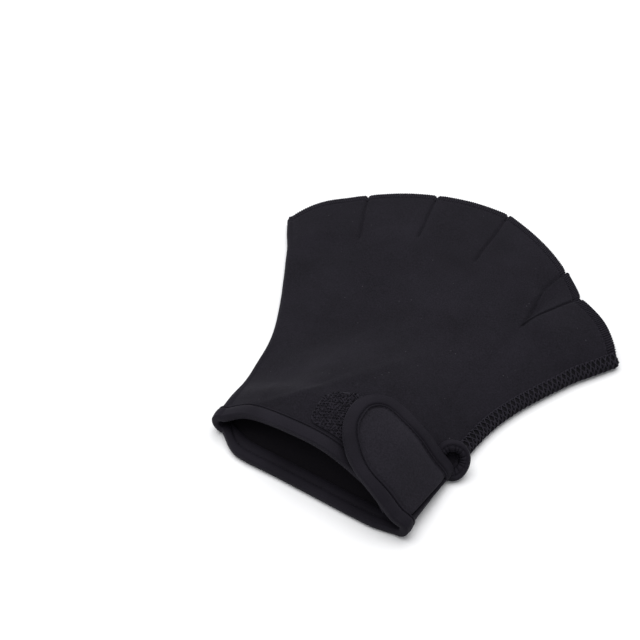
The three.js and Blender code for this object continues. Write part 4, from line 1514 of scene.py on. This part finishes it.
# The ring of tape at the slit's end, gathered towards a dark pit
eye_axis = unit(np.array(EYE_AXIS))
slit_end = scalar(slit_end_at)
eye_side = columns_at(slit_end)[LAST] - outward(LAST, slit_end) * (EYE_RADIUS - EYE_STAND)
eye_centre = np.array([*eye_side, EYE_RADIUS + EYE_ROLL + 2 * GAP])
eye_right = unit(np.cross([0, 0, 1.0], eye_axis))
eye_up = np.cross(eye_axis, eye_right)
GATHERS = 17
PIT_DEPTH = 5.2
EYE_LOWEST = 0.03
EYE_LINE = (0.45, 0.58 * np.pi, 0.14)


def build_eye():
    """A rim whose inner side runs down into a pit in gathers, closed below."""
    turn = np.linspace(0, 2 * np.pi, 200, endpoint=False)[:, None]
    angle = np.linspace(-0.75 * np.pi, 1.1 * np.pi, 60)[None, :]
    uneven = turn + 0.12 * np.sin(2 * turn) + 0.08 * np.sin(5 * turn + 1)
    gather = np.abs(np.sin(GATHERS / 2 * uneven)) ** 0.6 - 0.6
    inner_side = np.clip(-np.cos(angle), 0, 1)
    inward = np.where(np.cos(angle) > 0, RIM_OUT, RIM_IN)
    radius = RIM_RADIUS + inward * np.cos(angle) + 0.2 * np.sin(turn * 3 + 0.5)
    line = hump(EYE_LINE, angle)
    height = RIM_HEIGHT * np.sin(angle) + gather * inner_side ** 0.8 - line
    flat = eye_right * np.cos(turn)[..., None] + eye_up * (EYE_STRETCH * np.sin(turn))[..., None]
    middle = eye_centre - eye_up * EYE_DROP
    ring = middle + flat * radius[..., None] + eye_axis * height[..., None]
    rows, columns = height.shape
    ends = [middle - eye_axis * PIT_DEPTH, middle - eye_axis * (RIM_HEIGHT + 0.1)]
    points = np.concatenate([ring.reshape(-1, 3), ends])
    points[:, 2] = np.maximum(points[:, 2], EYE_LOWEST)
    faces = grid_faces(rows, columns, closed_rows=True).tolist()
    pit = rows * columns
    for i in range(rows):
        after = (i + 1) % rows
        faces.append([(i + 1) * columns - 1, (after + 1) * columns - 1, pit])
        faces.append([after * columns, i * columns, pit + 1])
    return points, faces


new_piece("eye_tape", build_eye(), tape_finish, ["slit_binding"])


# Floor, light and camera
FLOOR_HALF = 3.0


def build_floor():
    mesh = bpy.data.meshes.new("floor")
    corners = [(-1, -1), (1, -1), (1, 1), (-1, 1)]
    mesh.from_pydata([(x * FLOOR_HALF, y * FLOOR_HALF, 0) for x, y in corners], [], [(0, 1, 2, 3)])
    m = Nodes("pale_floor", 0.8, 0.1)
    m.base(m.colour(m.noise(30, 2, 0.5), (0.90, 0.90, 0.905), (0.93, 0.93, 0.935)))
    mesh.materials.append(m.material)
    add_to_scene("floor", mesh)


def add_area(name, place, target, size, power):
    light = bpy.data.lights.new(name, "AREA")
    light.shape = "RECTANGLE"
    light.size, light.size_y = size
    light.energy = power
    lamp = add_to_scene(name, light)
    lamp.location = place
    lamp.rotation_euler = (Vector(target) - Vector(place)).to_track_quat("-Z", "Y").to_euler()


def build_light():
    world = bpy.data.worlds.new("studio")
    world.use_nodes = True
    background = world.node_tree.nodes["Background"]
    background.inputs["Color"].default_value = (0.97, 0.98, 1.0, 1)
    background.inputs["Strength"].default_value = 0.5
    bpy.context.scene.world = world
    add_area("overhead", (-0.1, 0.15, 1.1), (0, 0, 0), (1.4, 1.2), 14)
    add_area("left_fill", (-0.9, -0.3, 0.6), (0, 0, 0.02), (0.8, 0.6), 1.5)
    bpy.context.scene.view_settings.view_transform = "Standard"


CAMERA_PLACE = np.array([69.58, -330.46, 305.07])
CAMERA_DIRECTION = (-0.2501, 0.7121, -0.6561)
PHOTO_FOCAL = 1000
PHOTO_WIDTH = 640
SENSOR = 36


def build_camera():
    data = bpy.data.cameras.new("camera")
    data.sensor_width = SENSOR
    data.lens = SENSOR * PHOTO_FOCAL / PHOTO_WIDTH
    data.clip_start = 0.01
    camera = add_to_scene("camera", data)
    camera.location = to_row(CAMERA_PLACE)
    camera.rotation_euler = Vector(CAMERA_DIRECTION).to_track_quat("-Z", "Y").to_euler()
    bpy.context.scene.camera = camera


build_floor()
build_light()
build_camera()
